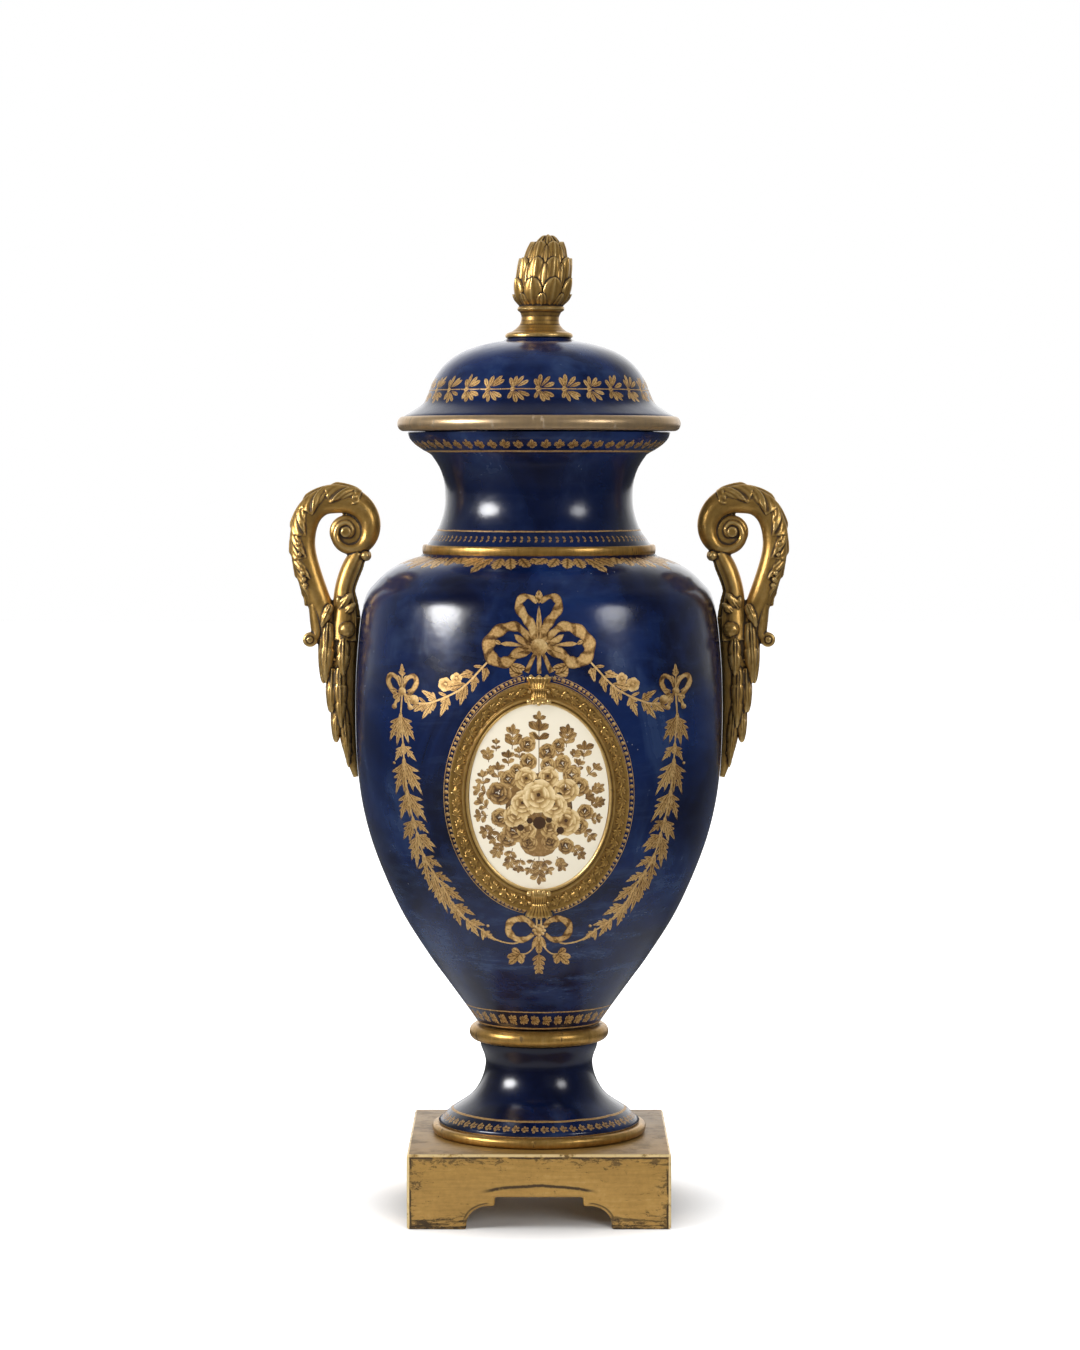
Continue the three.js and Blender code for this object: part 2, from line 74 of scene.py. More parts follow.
# How far the handles stay off the belly, and the height from which they do.
HAIR, BELLY_CUT = 0.35, 140


def spline(points, steps=8):
    """Returns points on an even Catmull-Rom curve through the given ones."""
    given = np.array(points, float)
    last = len(given) - 1
    found = []
    for index in range(last):
        before, start = given[max(index - 1, 0)], given[index]
        end, after = given[index + 1], given[min(index + 2, last)]
        pull, push = (end - before) / 2, (after - start) / 2
        for step in range(steps):
            t = step / steps
            found.append(start + pull * t + (3 * (end - start) - 2 * pull - push) * t ** 2
                         + (2 * (start - end) + pull + push) * t ** 3)
    found.append(given[last])
    return [tuple(point) for point in found]


def headings(points):
    """Returns the directions along a line of points."""
    ahead = np.gradient(points, axis=0)
    return ahead / np.linalg.norm(ahead, axis=1)[:, None]


class Outline:
    """An outline of radius and height, from low to high, measured along its length."""

    def __init__(self, points):
        self.points = np.array(points, float)
        steps = np.linalg.norm(np.diff(self.points, axis=0), axis=1)
        self.lengths = np.concatenate([[0], np.cumsum(steps)])
        self.length = float(self.lengths[-1])
        ahead = np.gradient(self.points, self.lengths, axis=0)
        ahead /= np.linalg.norm(ahead, axis=1)[:, None]
        self.normals = np.stack([ahead[:, 1], -ahead[:, 0]], axis=1)

    def at(self, along):
        """Returns radius, height and the outward normal's two parts at a length along the outline."""
        columns = (self.points[:, 0], self.points[:, 1], self.normals[:, 0], self.normals[:, 1])
        return [np.interp(along, self.lengths, column) for column in columns]

    def along(self, height):
        """Returns the length along the outline at a height."""
        return np.interp(height, self.points[:, 1], self.lengths)


BELLY_OUTLINE = Outline(spline(BELLY, 10))


def on_belly(x, z, lift=0.0):
    """Returns the place on the front of the belly at x and z, lifted off its surface."""
    radius, _, out, up = (float(value) for value in BELLY_OUTLINE.at(BELLY_OUTLINE.along(z)))
    turn = math.asin(x / radius)
    reach = radius + lift * out
    return np.array((reach * math.sin(turn), -reach * math.cos(turn), z + lift * up))


def clear():
    """Leaves object mode with nothing selected."""
    if bpy.context.object and bpy.context.object.mode != "OBJECT":
        bpy.ops.object.mode_set(mode="OBJECT")
    bpy.ops.object.select_all(action="DESELECT")


def choose(*pieces):
    """Selects pieces, the first as the active one."""
    clear()
    for piece in pieces:
        piece.select_set(True)
    bpy.context.view_layer.objects.active = pieces[0]


def edit(piece, test=None):
    """Opens edit mode with the faces selected whose centre and normal pass the test, or all of them."""
    choose(piece)
    bpy.ops.object.mode_set(mode="EDIT")
    bpy.ops.mesh.select_mode(type="FACE")
    bpy.ops.mesh.select_all(action="SELECT" if test is None else "DESELECT")
    if test:
        mesh = bmesh.from_edit_mesh(piece.data)
        for face in mesh.faces:
            face.select_set(bool(test(face.calc_center_median(), face.normal)))
        bmesh.update_edit_mesh(piece.data)


def settle(piece, angle=SMOOTH):
    """Puts a finished piece's place into its mesh and smooths it."""
    choose(piece)
    bpy.ops.object.transform_apply(location=True, rotation=True, scale=True)
    bpy.ops.object.shade_smooth_by_angle(angle=angle)
    clear()
    return piece


def start_point(name, place):
    """Starts a piece from one vertex, in edit mode."""
    clear()
    bpy.ops.mesh.primitive_plane_add(size=0.001, location=[value * MM for value in place])
    piece = bpy.context.object
    piece.name = name
    bpy.ops.object.mode_set(mode="EDIT")
    bpy.ops.mesh.select_mode(type="VERT")
    bpy.ops.mesh.select_all(action="SELECT")
    bpy.ops.mesh.merge(type="CENTER")
    return piece


def draw_to(points):
    """Extrudes the selected vertex from point to point."""
    for before, after in zip(points, points[1:]):
        step = [(b - a) * MM for a, b in zip(before, after)]
        bpy.ops.mesh.extrude_region_move(TRANSFORM_OT_translate={"value": step})


def mend(piece):
    """Merges doubles and turns the normals outwards, in edit mode."""
    bpy.ops.mesh.select_all(action="SELECT")
    bpy.ops.mesh.remove_doubles(threshold=1e-6)
    bpy.ops.mesh.normals_make_consistent(inside=False)


def turned(name, outline, steps=160):
    """Draws an outline of radius and height, and spins it round the urn's axis."""
    points = [(r, 0, z) for r, z in outline]
    piece = start_point(name, points[0])
    draw_to(points)
    bpy.ops.mesh.select_all(action="SELECT")
    bpy.ops.mesh.spin(steps=steps, angle=math.tau, center=(0, 0, 0), axis=(0, 0, 1))
    mend(piece)
    return settle(piece)


def modify(piece, kind, **settings):
    """Adds a modifier with its settings and applies it."""
    choose(piece)
    modifier = piece.modifiers.new(kind, kind)
    for name, value in settings.items():
        setattr(modifier, name, value)
    bpy.ops.object.modifier_apply(modifier=modifier.name)


def join(pieces, name):
    """Joins pieces into the first one."""
    choose(*pieces)
    bpy.ops.object.join()
    pieces[0].name = name
    return pieces[0]


def mesh_piece(name, points, faces):
    """Makes a smooth piece from points in millimetres and faces."""
    mesh = bpy.data.meshes.new(name)
    mesh.from_pydata([tuple(float(value) * MM for value in point) for point in points], [], faces)
    mesh.update()
    mesh.shade_smooth()
    piece = bpy.data.objects.new(name, mesh)
    bpy.context.scene.collection.objects.link(piece)
    return piece


def place(piece, node, slot, material):
    """Gives a piece its material, hangs it under the root body and hides the solid that it stands for."""
    piece.data.materials.clear()
    piece.data.materials.append(material)
    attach(piece, "root")
    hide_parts(node)


# What a painted shape is, which its material shades by.
LINE, LEAF, RIBBON, BOSS, PETAL = range(5)


class Painting:
    """Flat shapes painted on a surface. Outlines are in millimetres on the surface or as seen from the front."""

    def __init__(self, seed, front=None):
        self.front = front
        self.shapes = []
        self.chance = random.Random(seed)

    def add(self, outline, start, end, half, kind, bend=0.0, spread=(0, 1), tone=None):
        """Adds one shape with the frame that its shading follows."""
        start, end = np.array(start, float), np.array(end, float)
        length = max(float(np.linalg.norm(end - start)), 1e-6)
        tone = self.chance.random() if tone is None else tone
        self.shapes.append({"outline": np.array(outline, float), "start": start, "ahead": (end - start) / length,
                            "length": length, "half": half, "bend": bend, "spread": spread,
                            "kind": kind + 0.02 + 0.9 * tone, "front": self.front})

    def leaf(self, foot, tip, half, bend=0.0, teeth=0, full=0.42, kind=LEAF, tone=None, cut=0.4):
        """Adds a leaf from foot to tip, bent sideways, with teeth or lobes along its edges."""
        foot, tip = np.array(foot, float), np.array(tip, float)
        ahead = tip - foot
        side = np.array((-ahead[1], ahead[0])) / np.linalg.norm(ahead)
        power = math.log(0.5) / math.log(full)
        stops = [(index / 6, 1) for index in range(1, 6)]
        if teeth:
            stops = []
            for index in range(teeth):
                low, high = (index + 0.25) / (teeth + 0.6), (index + 1.0) / (teeth + 0.6)
                stops += [(low, 1 - cut), ((low + high) / 2, 0.92), (high, 1), (high + 0.02, 1 - cut * 0.8)]
        edges = [[], []]
        for share, keep in stops:
            wide = half * keep * math.sin(math.pi * min(share, 1) ** power) ** 0.75
            middle = foot + ahead * share + side * bend * 4 * share * (1 - share)
            edges[0].append(middle - side * wide)
            edges[1].append(middle + side * wide)
        outline = [foot] + edges[0] + [tip] + edges[1][::-1]
        self.add(outline, foot, tip, half, kind, bend, tone=tone)

    def ribbon(self, points, widths, kind=RIBBON, pitch=6.0, tone=None):
        """Adds a ribbon or stem along points, with a width at each one."""
        points = np.array(points, float)
        widths = np.broadcast_to(np.array(widths, float), (len(points),))
        ahead = np.gradient(points, axis=0)
        ahead /= np.linalg.norm(ahead, axis=1)[:, None] + 1e-9
        side = np.stack([-ahead[:, 1], ahead[:, 0]], axis=1) * widths[:, None] / 2
        run = 0.0
        tone = self.chance.random() if tone is None else tone
        for index in range(len(points) - 1):
            start, end = points[index], points[index + 1]
            length = float(np.linalg.norm(end - start))
            outline = [start - side[index], end - side[index + 1], end + side[index + 1], start + side[index]]
            half = float(widths[index] + widths[index + 1]) / 4
            self.add(outline, start, end, half, kind, spread=(run / pitch, (run + length) / pitch), tone=tone)
            run += length

    def disc(self, centre, radius, kind=BOSS, sides=14, tall=1.0, tone=None):
        """Adds a round or oval boss."""
        centre = np.array(centre, float)
        turns = [math.tau * index / sides for index in range(sides)]
        outline = [centre + (radius * math.cos(turn), radius * tall * math.sin(turn)) for turn in turns]
        self.add(outline, centre - (0, radius * tall), centre + (0, radius * tall), radius, kind, tone=tone)

    def flower(self, centre, radius, petals=5, turn=0.3):
        """Adds a small flower of round petals with a boss in the middle."""
        centre = np.array(centre, float)
        for index in range(petals):
            way = turn + math.tau * index / petals
            ahead = np.array((math.cos(way), math.sin(way)))
            self.leaf(centre + ahead * radius * 0.1, centre + ahead * radius, radius * 0.46, full=0.62, kind=PETAL)
        self.disc(centre, radius * 0.24, sides=8)


def inlay(spots, outlines):
    """Lays outlines into a flat field of spots. Returns the points, the triangles between them, and the number
    of the outline that each triangle lies in, or -1."""
    spots, faces = list(spots), []
    for outline in outlines:
        faces.append(list(range(len(spots), len(spots) + len(outline))))
        spots += [tuple(point) for point in outline]
    flat, _, triangles, _, _, owners = delaunay_2d_cdt([Vector(spot) for spot in spots], [], faces, 0, 1e-5, True)
    owners = [max(owner) if owner else -1 for owner in owners]
    return np.array([tuple(point) for point in flat]), np.array([list(triangle) for triangle in triangles]), owners


def paint(shapes, owners, places, flat):
    """Returns the paint values of each triangle's corners: 1 where painted, the places along and across the shape,
    and its kind. Places are as seen from the front, and flat is the unrolled surface."""
    values = np.zeros((len(owners), 3, 4), np.float32)
    for index, owner in enumerate(owners):
        if owner < 0:
            continue
        shape = shapes[owner]
        spots = places[index] if shape["front"] else flat[index]
        away = spots - shape["start"]
        ahead = shape["ahead"]
        run = (away @ ahead) / shape["length"]
        across = (away[:, 1] * ahead[0] - away[:, 0] * ahead[1] - 4 * shape["bend"] * run * (1 - run)) / shape["half"]
        low, high = shape["spread"]
        values[index, :, 0] = 1
        values[index, :, 1] = low + (high - low) * run
        values[index, :, 2] = across
        values[index, :, 3] = shape["kind"]
    return values


def keep_paint(piece, values):
    """Writes paint values to the corners of a piece's first faces, which are its painted triangles."""
    data = np.zeros((len(piece.data.loops), 4), np.float32)
    data[:len(values) * 3] = values.reshape(-1, 4)
    piece.data.color_attributes.new("paint", "FLOAT_COLOR", "CORNER").data.foreach_set("color", data.ravel())


def porcelain(name, outline, reach, paintings, over, under, columns, row):
    """Makes a turned piece whose outer face holds the painted shapes as faces of their own.
    Over and under are the rest of its section, from the outer face's top and foot, and each ends on the axis."""
    outer = Outline(outline)
    rows = max(2, round(outer.length / row))
    heights = np.linspace(0, outer.length, rows + 1)
    spots = [(math.pi * reach * (2 * column / columns - 1), height)
             for height in heights for column in range(columns + 1)]
    shapes = [shape for painting in paintings for shape in painting.shapes]
    limits = (math.pi * reach - 0.3, outer.length - 0.1)
    outlines = []
    for shape in shapes:
        points = shape["outline"]
        if shape["front"]:
            along = outer.along(points[:, 1])
            points = np.stack([np.arcsin(points[:, 0] / outer.at(along)[0]) * reach, along], axis=1)
        outlines.append(np.clip(points, (-limits[0], 0.1), limits))
    flat, used, owners = inlay(spots, outlines)
    edge = math.pi * reach - 1e-3
    left = {round(y, 3): index for index, (x, y) in enumerate(flat) if x < -edge}
    swap = np.arange(len(flat))
    for index, (x, y) in enumerate(flat):
        if x > edge:
            swap[index] = left[round(y, 3)]
    r, z, out, up = outer.at(flat[:, 1])
    turn = flat[:, 0] / reach
    solid = np.stack([r * np.sin(turn), -r * np.cos(turn), z], axis=1)
    normals = np.stack([out * np.sin(turn), -out * np.cos(turn), up], axis=1)
    values = paint(shapes, owners, solid[used][:, :, ::2], flat[used])
    used = swap[used]
    points, tilts, all_faces = list(solid), list(normals), [tuple(face) for face in used]

    def rim(height):
        """Returns the outer face's vertices at its foot or top, in order round the axis."""
        found = [index for index in range(len(flat))
                 if abs(flat[index, 1] - height) < 1e-4 and swap[index] == index]
        return sorted(found, key=lambda index: flat[index, 0])

    def wall(ring, chain, upwards):
        """Adds rings of faces from a rim along a chain of radius and height, up to the axis."""
        spins = [flat[index, 0] / reach for index in ring]
        for radius, height in chain:
            if radius == 0:
                points.append((0, 0, height))
                tilts.append((0, 0, 0))
                following = [len(points) - 1] * len(ring)
            else:
                following = list(range(len(points), len(points) + len(ring)))
                points.extend((radius * math.sin(spin), -radius * math.cos(spin), height) for spin in spins)
                tilts.extend([(0, 0, 0)] * len(ring))
            for index in range(len(ring)):
                after = (index + 1) % len(ring)
                face = [ring[index], ring[after], following[after], following[index]]
                all_faces.append(tuple(dict.fromkeys(face if upwards else face[::-1])))
            ring = following

    wall(rim(outer.length), over, True)
    wall(rim(0), under, False)
    piece = mesh_piece(name, points, all_faces)
    keep_paint(piece, values)
    piece.data.normals_split_custom_set_from_vertices([tuple(tilt) for tilt in tilts])
    return piece


class Wire:
    """A node's output socket. Python's operators and the methods below add Math nodes to it."""

    def __init__(self, nodes, socket):
        self.nodes = nodes
        self.socket = socket

    def maths(self, operation, *values):
        """Returns the result of a Math node."""
        return self.nodes.node("ShaderNodeMath", {"operation": operation}, dict(enumerate(values)))

    def beside(self, output):
        """Returns another output of the same node."""
        return Wire(self.nodes, self.socket.node.outputs[output])

    def __add__(self, other):
        return self.maths("ADD", self, other)

    def __sub__(self, other):
        return self.maths("SUBTRACT", self, other)

    def __rsub__(self, other):
        return self.maths("SUBTRACT", other, self)

    def __mul__(self, other):
        return self.maths("MULTIPLY", self, other)

    def __truediv__(self, other):
        return self.maths("DIVIDE", self, other)

    def __abs__(self):
        return self.maths("ABSOLUTE", self)

    __radd__, __rmul__ = __add__, __mul__

    def larger(self, other):
        """Returns the larger of two values."""
        return self.maths("MAXIMUM", self, other)

    def smaller(self, other):
        """Returns the smaller of two values."""
        return self.maths("MINIMUM", self, other)

    def wave(self):
        """Returns the sine."""
        return self.maths("SINE", self)

    def fraction(self):
        """Returns what stands behind the point."""
        return self.maths("FRACT", self)


class Nodes:
    """A node tree that nodes are added to."""

    def __init__(self, tree):
        self.tree = tree

    def node(self, kind, settings=None, inputs=None, output=0):
        """Adds a node with its settings, then the values or wires of its sockets, and returns an output."""
        node = self.tree.nodes.new(kind)
        for name, value in (settings or {}).items():
            if name == "stops":
                ramp = node.color_ramp
                while len(ramp.elements) < len(value):
                    ramp.elements.new(0.5)
                for element, (position, colour) in zip(ramp.elements, value):
                    element.position = position
                    element.color = (*colour, 1)
            else:
                setattr(node, name, value)
        for name, value in (inputs or {}).items():
            self.feed(node.inputs[name], value)
        return Wire(self, node.outputs[output])

    def feed(self, socket, value):
        """Sets or links one input socket."""
        if isinstance(value, Wire):
            self.tree.links.new(value.socket, socket)
        elif socket.type == "RGBA":
            socket.default_value = (*value, 1)
        else:
            socket.default_value = value

    def mix(self, share, first, second):
        """Returns one colour laid over another."""
        return self.node("ShaderNodeMix", {"data_type": "RGBA"}, {0: share, 6: first, 7: second}, 2)

    def shades(self, value, *stops):
        """Returns a colour from stops, each a position and a colour."""
        return self.node("ShaderNodeValToRGB", {"stops": stops}, {0: value})


class Finish(Nodes):
    """A material, built from its shader outwards."""

    def __init__(self, name, **constants):
        self.material = bpy.data.materials.new(name)
        self.material.use_nodes = True
        super().__init__(self.material.node_tree)
        self.shader = self.tree.nodes["Principled BSDF"]
        for socket, value in constants.items():
            self.shader.inputs[socket.replace("_", " ")].default_value = value
        self.place = self.node("ShaderNodeTexCoord", {}, {}, "Object")

    def stretched(self, scale, turn=(0, 0, 0)):
        """Returns the place on the piece, stretched and turned."""
        return self.node("ShaderNodeMapping", {}, {"Vector": self.place, "Scale": scale, "Rotation": turn})

    def noise(self, scale, detail=3.0, rough=0.55, place=None, warp=0.0):
        """Returns soft noise between 0 and 1, with its scale per metre."""
        return self.node("ShaderNodeTexNoise", {}, {"Vector": place or self.place, "Scale": scale, "Detail": detail,
                                                    "Roughness": rough, "Distortion": warp})

    def ramp(self, value, low, high):
        """Returns 0 below low, 1 above high and a smooth step between."""
        return self.node("ShaderNodeMapRange", {"interpolation_type": "SMOOTHSTEP", "clamp": True},
                         {0: value, 1: low, 2: high, 3: 0.0, 4: 1.0})

    def patches(self, low, high, scale, detail=3.0, rough=0.55, place=None, warp=0.0):
        """Returns noise cut to patches with soft edges, 0 where it is below low and 1 above high."""
        return self.ramp(self.noise(scale, detail, rough, place, warp), low, high)

    def part(self, index):
        """Returns x, y or z of the place on the piece."""
        return self.node("ShaderNodeSeparateXYZ", {}, {0: self.place}, index)

    def kinds(self, kind, *wanted):
        """Returns, for each wanted kind of painted shape, 1 where the shape is of that kind."""
        return [1 - self.ramp(abs(kind - value), 0.3, 0.6) for value in wanted]

    def bands(self, height, lines):
        """Returns 1 within any of several bands of heights: middle, half width and soft edge in millimetres."""
        found = 0.0
        for middle, half, soft in lines:
            away = abs(height - middle * MM)
            found = (1 - self.ramp(away, (half - soft) * MM, (half + soft) * MM)).larger(found)
        return found

    def finish(self, colour, roughness=None, metal=None, height=None, depth=0.0002, strength=1.0):
        """Links the shader's sockets and returns the material."""
        for name, value in (("Base Color", colour), ("Roughness", roughness), ("Metallic", metal)):
            if value is not None:
                self.feed(self.shader.inputs[name], value)
        if height is not None:
            normal = self.node("ShaderNodeBump", {}, {"Height": height, "Distance": depth, "Strength": strength})
            self.feed(self.shader.inputs["Normal"], normal)
        return self.material


def painted_attribute(finish):
    """Returns a painted piece's mask, its place along and across a shape, its kind and its tone."""
    colour = finish.node("ShaderNodeAttribute", {"attribute_name": "paint"}, {}, "Color")
    mask = finish.node("ShaderNodeSeparateColor", {}, {0: colour})
    kind = colour.beside("Alpha")
    tone = kind.fraction()
    return mask, mask.beside(1), mask.beside(2), kind - tone, tone


# Painted gilt lines round the cobalt pieces, and painted shade at the waists: middle, half width and soft edge.
GILT_LINES = [(middle, half, 0.12) for middle, half in (
    (42.5, 0.3), (49.3, 0.35), (93.6, 0.4), (102.6, 0.3), (340.0, 0.3), (379.0, 0.4), (409.2, 0.22))]
SHADED_WAISTS = ((356, 20, 10), (72, 16, 8), (400, 5, 4))


def clouded_glaze(f, colours):
    """Returns the blue glaze's colour, with painted shade and floor reflection, its roughness and its pits."""
    height = f.part(2)
    cloud = f.noise(14, 5, 0.6, warp=0.6)
    drift = f.noise(34, 4, 0.65, f.stretched((1.0, 1.0, 0.55)), warp=0.8)
    brushed = f.patches(0.48, 0.68, 60, 5, 0.7, f.stretched((0.5, 0.5, 2.2), (0.3, 0.5, 0)), warp=0.4)
    # Painted shade: the glaze is darkened, and its clouding kept down, at the neck, foot and lid waists.
    waist_shade = f.bands(height, SHADED_WAISTS)
    deep = f.mix(f.ramp(cloud, 0.38, 0.62) * (1 - waist_shade * 0.6), colours.glaze_deep, colours.glaze)
    # Painted reflection of the pale floor: the glaze is made milkier low on the belly, between 0.1 and 0.22 m high.
    low = (1 - f.ramp(height, 0.12, 0.22)) * f.ramp(height, 0.1, 0.125)
    clouding_and_floor_reflection = f.ramp(drift, 0.48, 0.7) * f.ramp(cloud, 0.42, 0.6) * 0.55
    clouding_and_floor_reflection = clouding_and_floor_reflection + brushed * (0.14 + low * 0.6)
    glaze = f.mix(clouding_and_floor_reflection * (0.7 - waist_shade * 0.45), deep, colours.glaze_milky)
    scuff = f.patches(0.66, 0.74, 260, 6, 0.75, f.stretched((1, 1, 0.4)), warp=1.5) * f.ramp(drift, 0.45, 0.6)
    glaze = f.mix(scuff * 0.35, glaze, (0.16, 0.22, 0.36))
    specks = f.node("ShaderNodeTexVoronoi", {}, {"Vector": f.place, "Scale": 150})
    pits = 1 - f.ramp(specks + f.noise(900, 2) * 0.05, 0.05, 0.09)
    pits = pits * f.patches(0.55, 0.62, 22, 2)
    return f.mix(pits * 0.5, glaze, (0.3, 0.3, 0.3)), 0.2 + clouding_and_floor_reflection * 0.16 + scuff * 0.25 + pits * 0.3, pits


def cobalt_porcelain(colours):
    """Deep blue glaze, clouded and scuffed, with worn painted gilding."""
    f = Finish("cobalt_porcelain", IOR=1.5, Specular_IOR_Level=0.45)
    mask, along, across, kind, tone = painted_attribute(f)
    glaze, rough, pits = clouded_glaze(f, colours)
    wobble = f.part(2) + (f.noise(90, 2) - 0.5) * 0.0004
    gilt = mask.larger(f.bands(wobble, GILT_LINES) * f.patches(0.3, 0.42, 420, 4, 0.7))

    edge = abs(across)
    leaf, ribbon, boss, petal = f.kinds(kind, LEAF, RIBBON, BOSS, PETAL)
    rib = (1 - f.ramp(edge, 0.06, 0.2)) * leaf
    veins = f.ramp((edge * 9 - along * 26).wave(), 0.2, 0.9) * leaf
    outer = f.ramp(edge, 0.62, 1.0)
    pleat = f.ramp((along * math.tau + across * 1.4).wave(), 0.1, 0.95) * ribbon
    round_shade = f.ramp(along * 1.1 - across * 0.45, 0.1, 0.9)
    dapple = f.noise(900, 3, 0.6)
    light = 0.46 + tone * 0.3 + (dapple - 0.5) * 1.1 - rib * 0.55 - veins * 0.34 - pleat * 0.45
    light = light + boss * (round_shade * 0.6 - 0.4) + petal * (f.ramp(along, 0.1, 0.7) * 0.5 - 0.35)
    light = light - outer * (0.25 * leaf + 0.45 * ribbon) + leaf * (along - 0.5) * 0.25
    gold = f.shades(light, (0.0, colours.gilding_dark), (0.38, colours.gilding), (0.75, colours.gilding_light),
                    (1.0, (0.8, 0.6, 0.3)))
    share = gilt * (1 - f.patches(0.62, 0.72, 330, 5, 0.75, warp=0.5) * 0.275)
    rough = rough * (1 - share) + share * 0.42
    grain = f.noise(700, 3) * 0.15 + gilt * 0.6 - pits * 1.2 + f.noise(46, 3) * 4.0 + gilt * light * 0.3
    return f.finish(f.mix(share, glaze, gold), rough, share * 0.55, grain, 0.00012, 0.6)


def cream_porcelain(colours):
    """Cream glaze with a picture in browns and gold."""
    f = Finish("white_porcelain", IOR=1.5, Coat_Weight=0.4, Coat_Roughness=0.08)
    mask, along, across, kind, tone = painted_attribute(f)
    cloud = f.noise(60, 3)
    ground = f.mix(cloud, colours.cream, (0.8, 0.73, 0.59))
    foxed = f.patches(0.58, 0.78, 45, 5, 0.7, warp=0.6)
    ground = f.mix(foxed * 0.25, ground, (0.66, 0.52, 0.33))
    edge = abs(across)
    leaf, boss, petal = f.kinds(kind, LEAF, BOSS, PETAL)
    wash = f.noise(700, 3, 0.6) - 0.5
    light = 0.2 + tone * 0.36 + wash * 0.45 - boss * 0.5
    light = light - leaf * (1 - f.ramp(edge, 0.05, 0.3)) * 0.2 - f.ramp(edge, 0.7, 1.0) * 0.18
    light = light + petal * (f.ramp(along, 0.35, 0.92) * 0.5 - 0.3 + tone * 0.16 - f.ramp(along, 0.93, 1.0) * 0.25)
    tint = f.shades(light, (0.0, (0.05, 0.02, 0.005)), (0.3, (0.23, 0.12, 0.03)), (0.6, (0.5, 0.33, 0.12)),
                    (1.0, (0.84, 0.68, 0.4)))
    share = mask * (1 - f.patches(0.6, 0.75, 260, 5, 0.75) * 0.3)
    return f.finish(f.mix(share, ground, tint), 0.16 + share * 0.2, None, cloud + mask * 0.3, 0.00005)


def gilt_bronze(colours, name, cavity=False, streaks=False, patina=None, dull=0.0):
    """Aged gilding: warm on worn edges, brown and dark in the hollows, as wear, patina and painted highlight and
    shade.
    """
    f = Finish(name)
    cloud = f.noise(38, 4, 0.6, warp=0.4)
    fine = f.noise(420, 5, 0.65)
    spots = f.patches(0.6, 0.7, 190, 6, 0.8, warp=0.6)
    tone = cloud * 0.5 + fine * 0.4 + 0.08
    dark = spots * 0.6
    if streaks:
        tone = tone + (f.noise(330, 4, 0.7, f.stretched((1, 1, 0.12))) - 0.5) * 0.6
        dark = dark.larger(f.patches(0.62, 0.7, 240, 3, 0.6, f.stretched((1, 1, 0.3))) * 0.75)
    if cavity:
        # Lighter on ridges, as wear and painted highlight; darker in grooves and patina brown in the deepest, as
        # patina and painted shade.
        hollow = f.node("ShaderNodeAttribute", {"attribute_name": "cavity"}, {}, "Fac")
        tone = tone + (hollow - 0.5) * 1.5
        dark = dark.larger((1 - f.ramp(hollow, 0.2, 0.54)) * 0.97)
    metal, tarnish = 0.8, 0.6
    if patina:
        metal, tarnish = 0.4, 0.3
        stain_and_shade, wear_and_highlight = patina(f)
        dark = dark.larger(stain_and_shade) * (1 - wear_and_highlight)
        brushed = f.noise(300, 5, 0.6, f.stretched((0.16, 0.16, 2.2)))
        tone = tone * 0.7 + brushed * 0.4 + wear_and_highlight * 0.4
    gold = f.shades(tone, (0.0, colours.bronze_dark), (0.34, colours.bronze), (0.62, colours.gilt),
                    (1.0, colours.gilt_bright))
    colour = f.mix(dark, gold, colours.patina)
    if patina:
        # Painted highlight: the worn edges are mixed towards a bright gilt.
        colour = f.mix(wear_and_highlight * 0.8, colour, (0.86, 0.66, 0.34))
    if dull:
        colour = f.mix(dull, colour, (0.56, 0.45, 0.33))
    grain = fine * 0.5 + cloud * 0.5 - spots * 0.7
    return f.finish(colour, 0.27 + fine * 0.16 + dark * 0.3, metal - dark * tarnish, grain, 0.0002, 0.5)


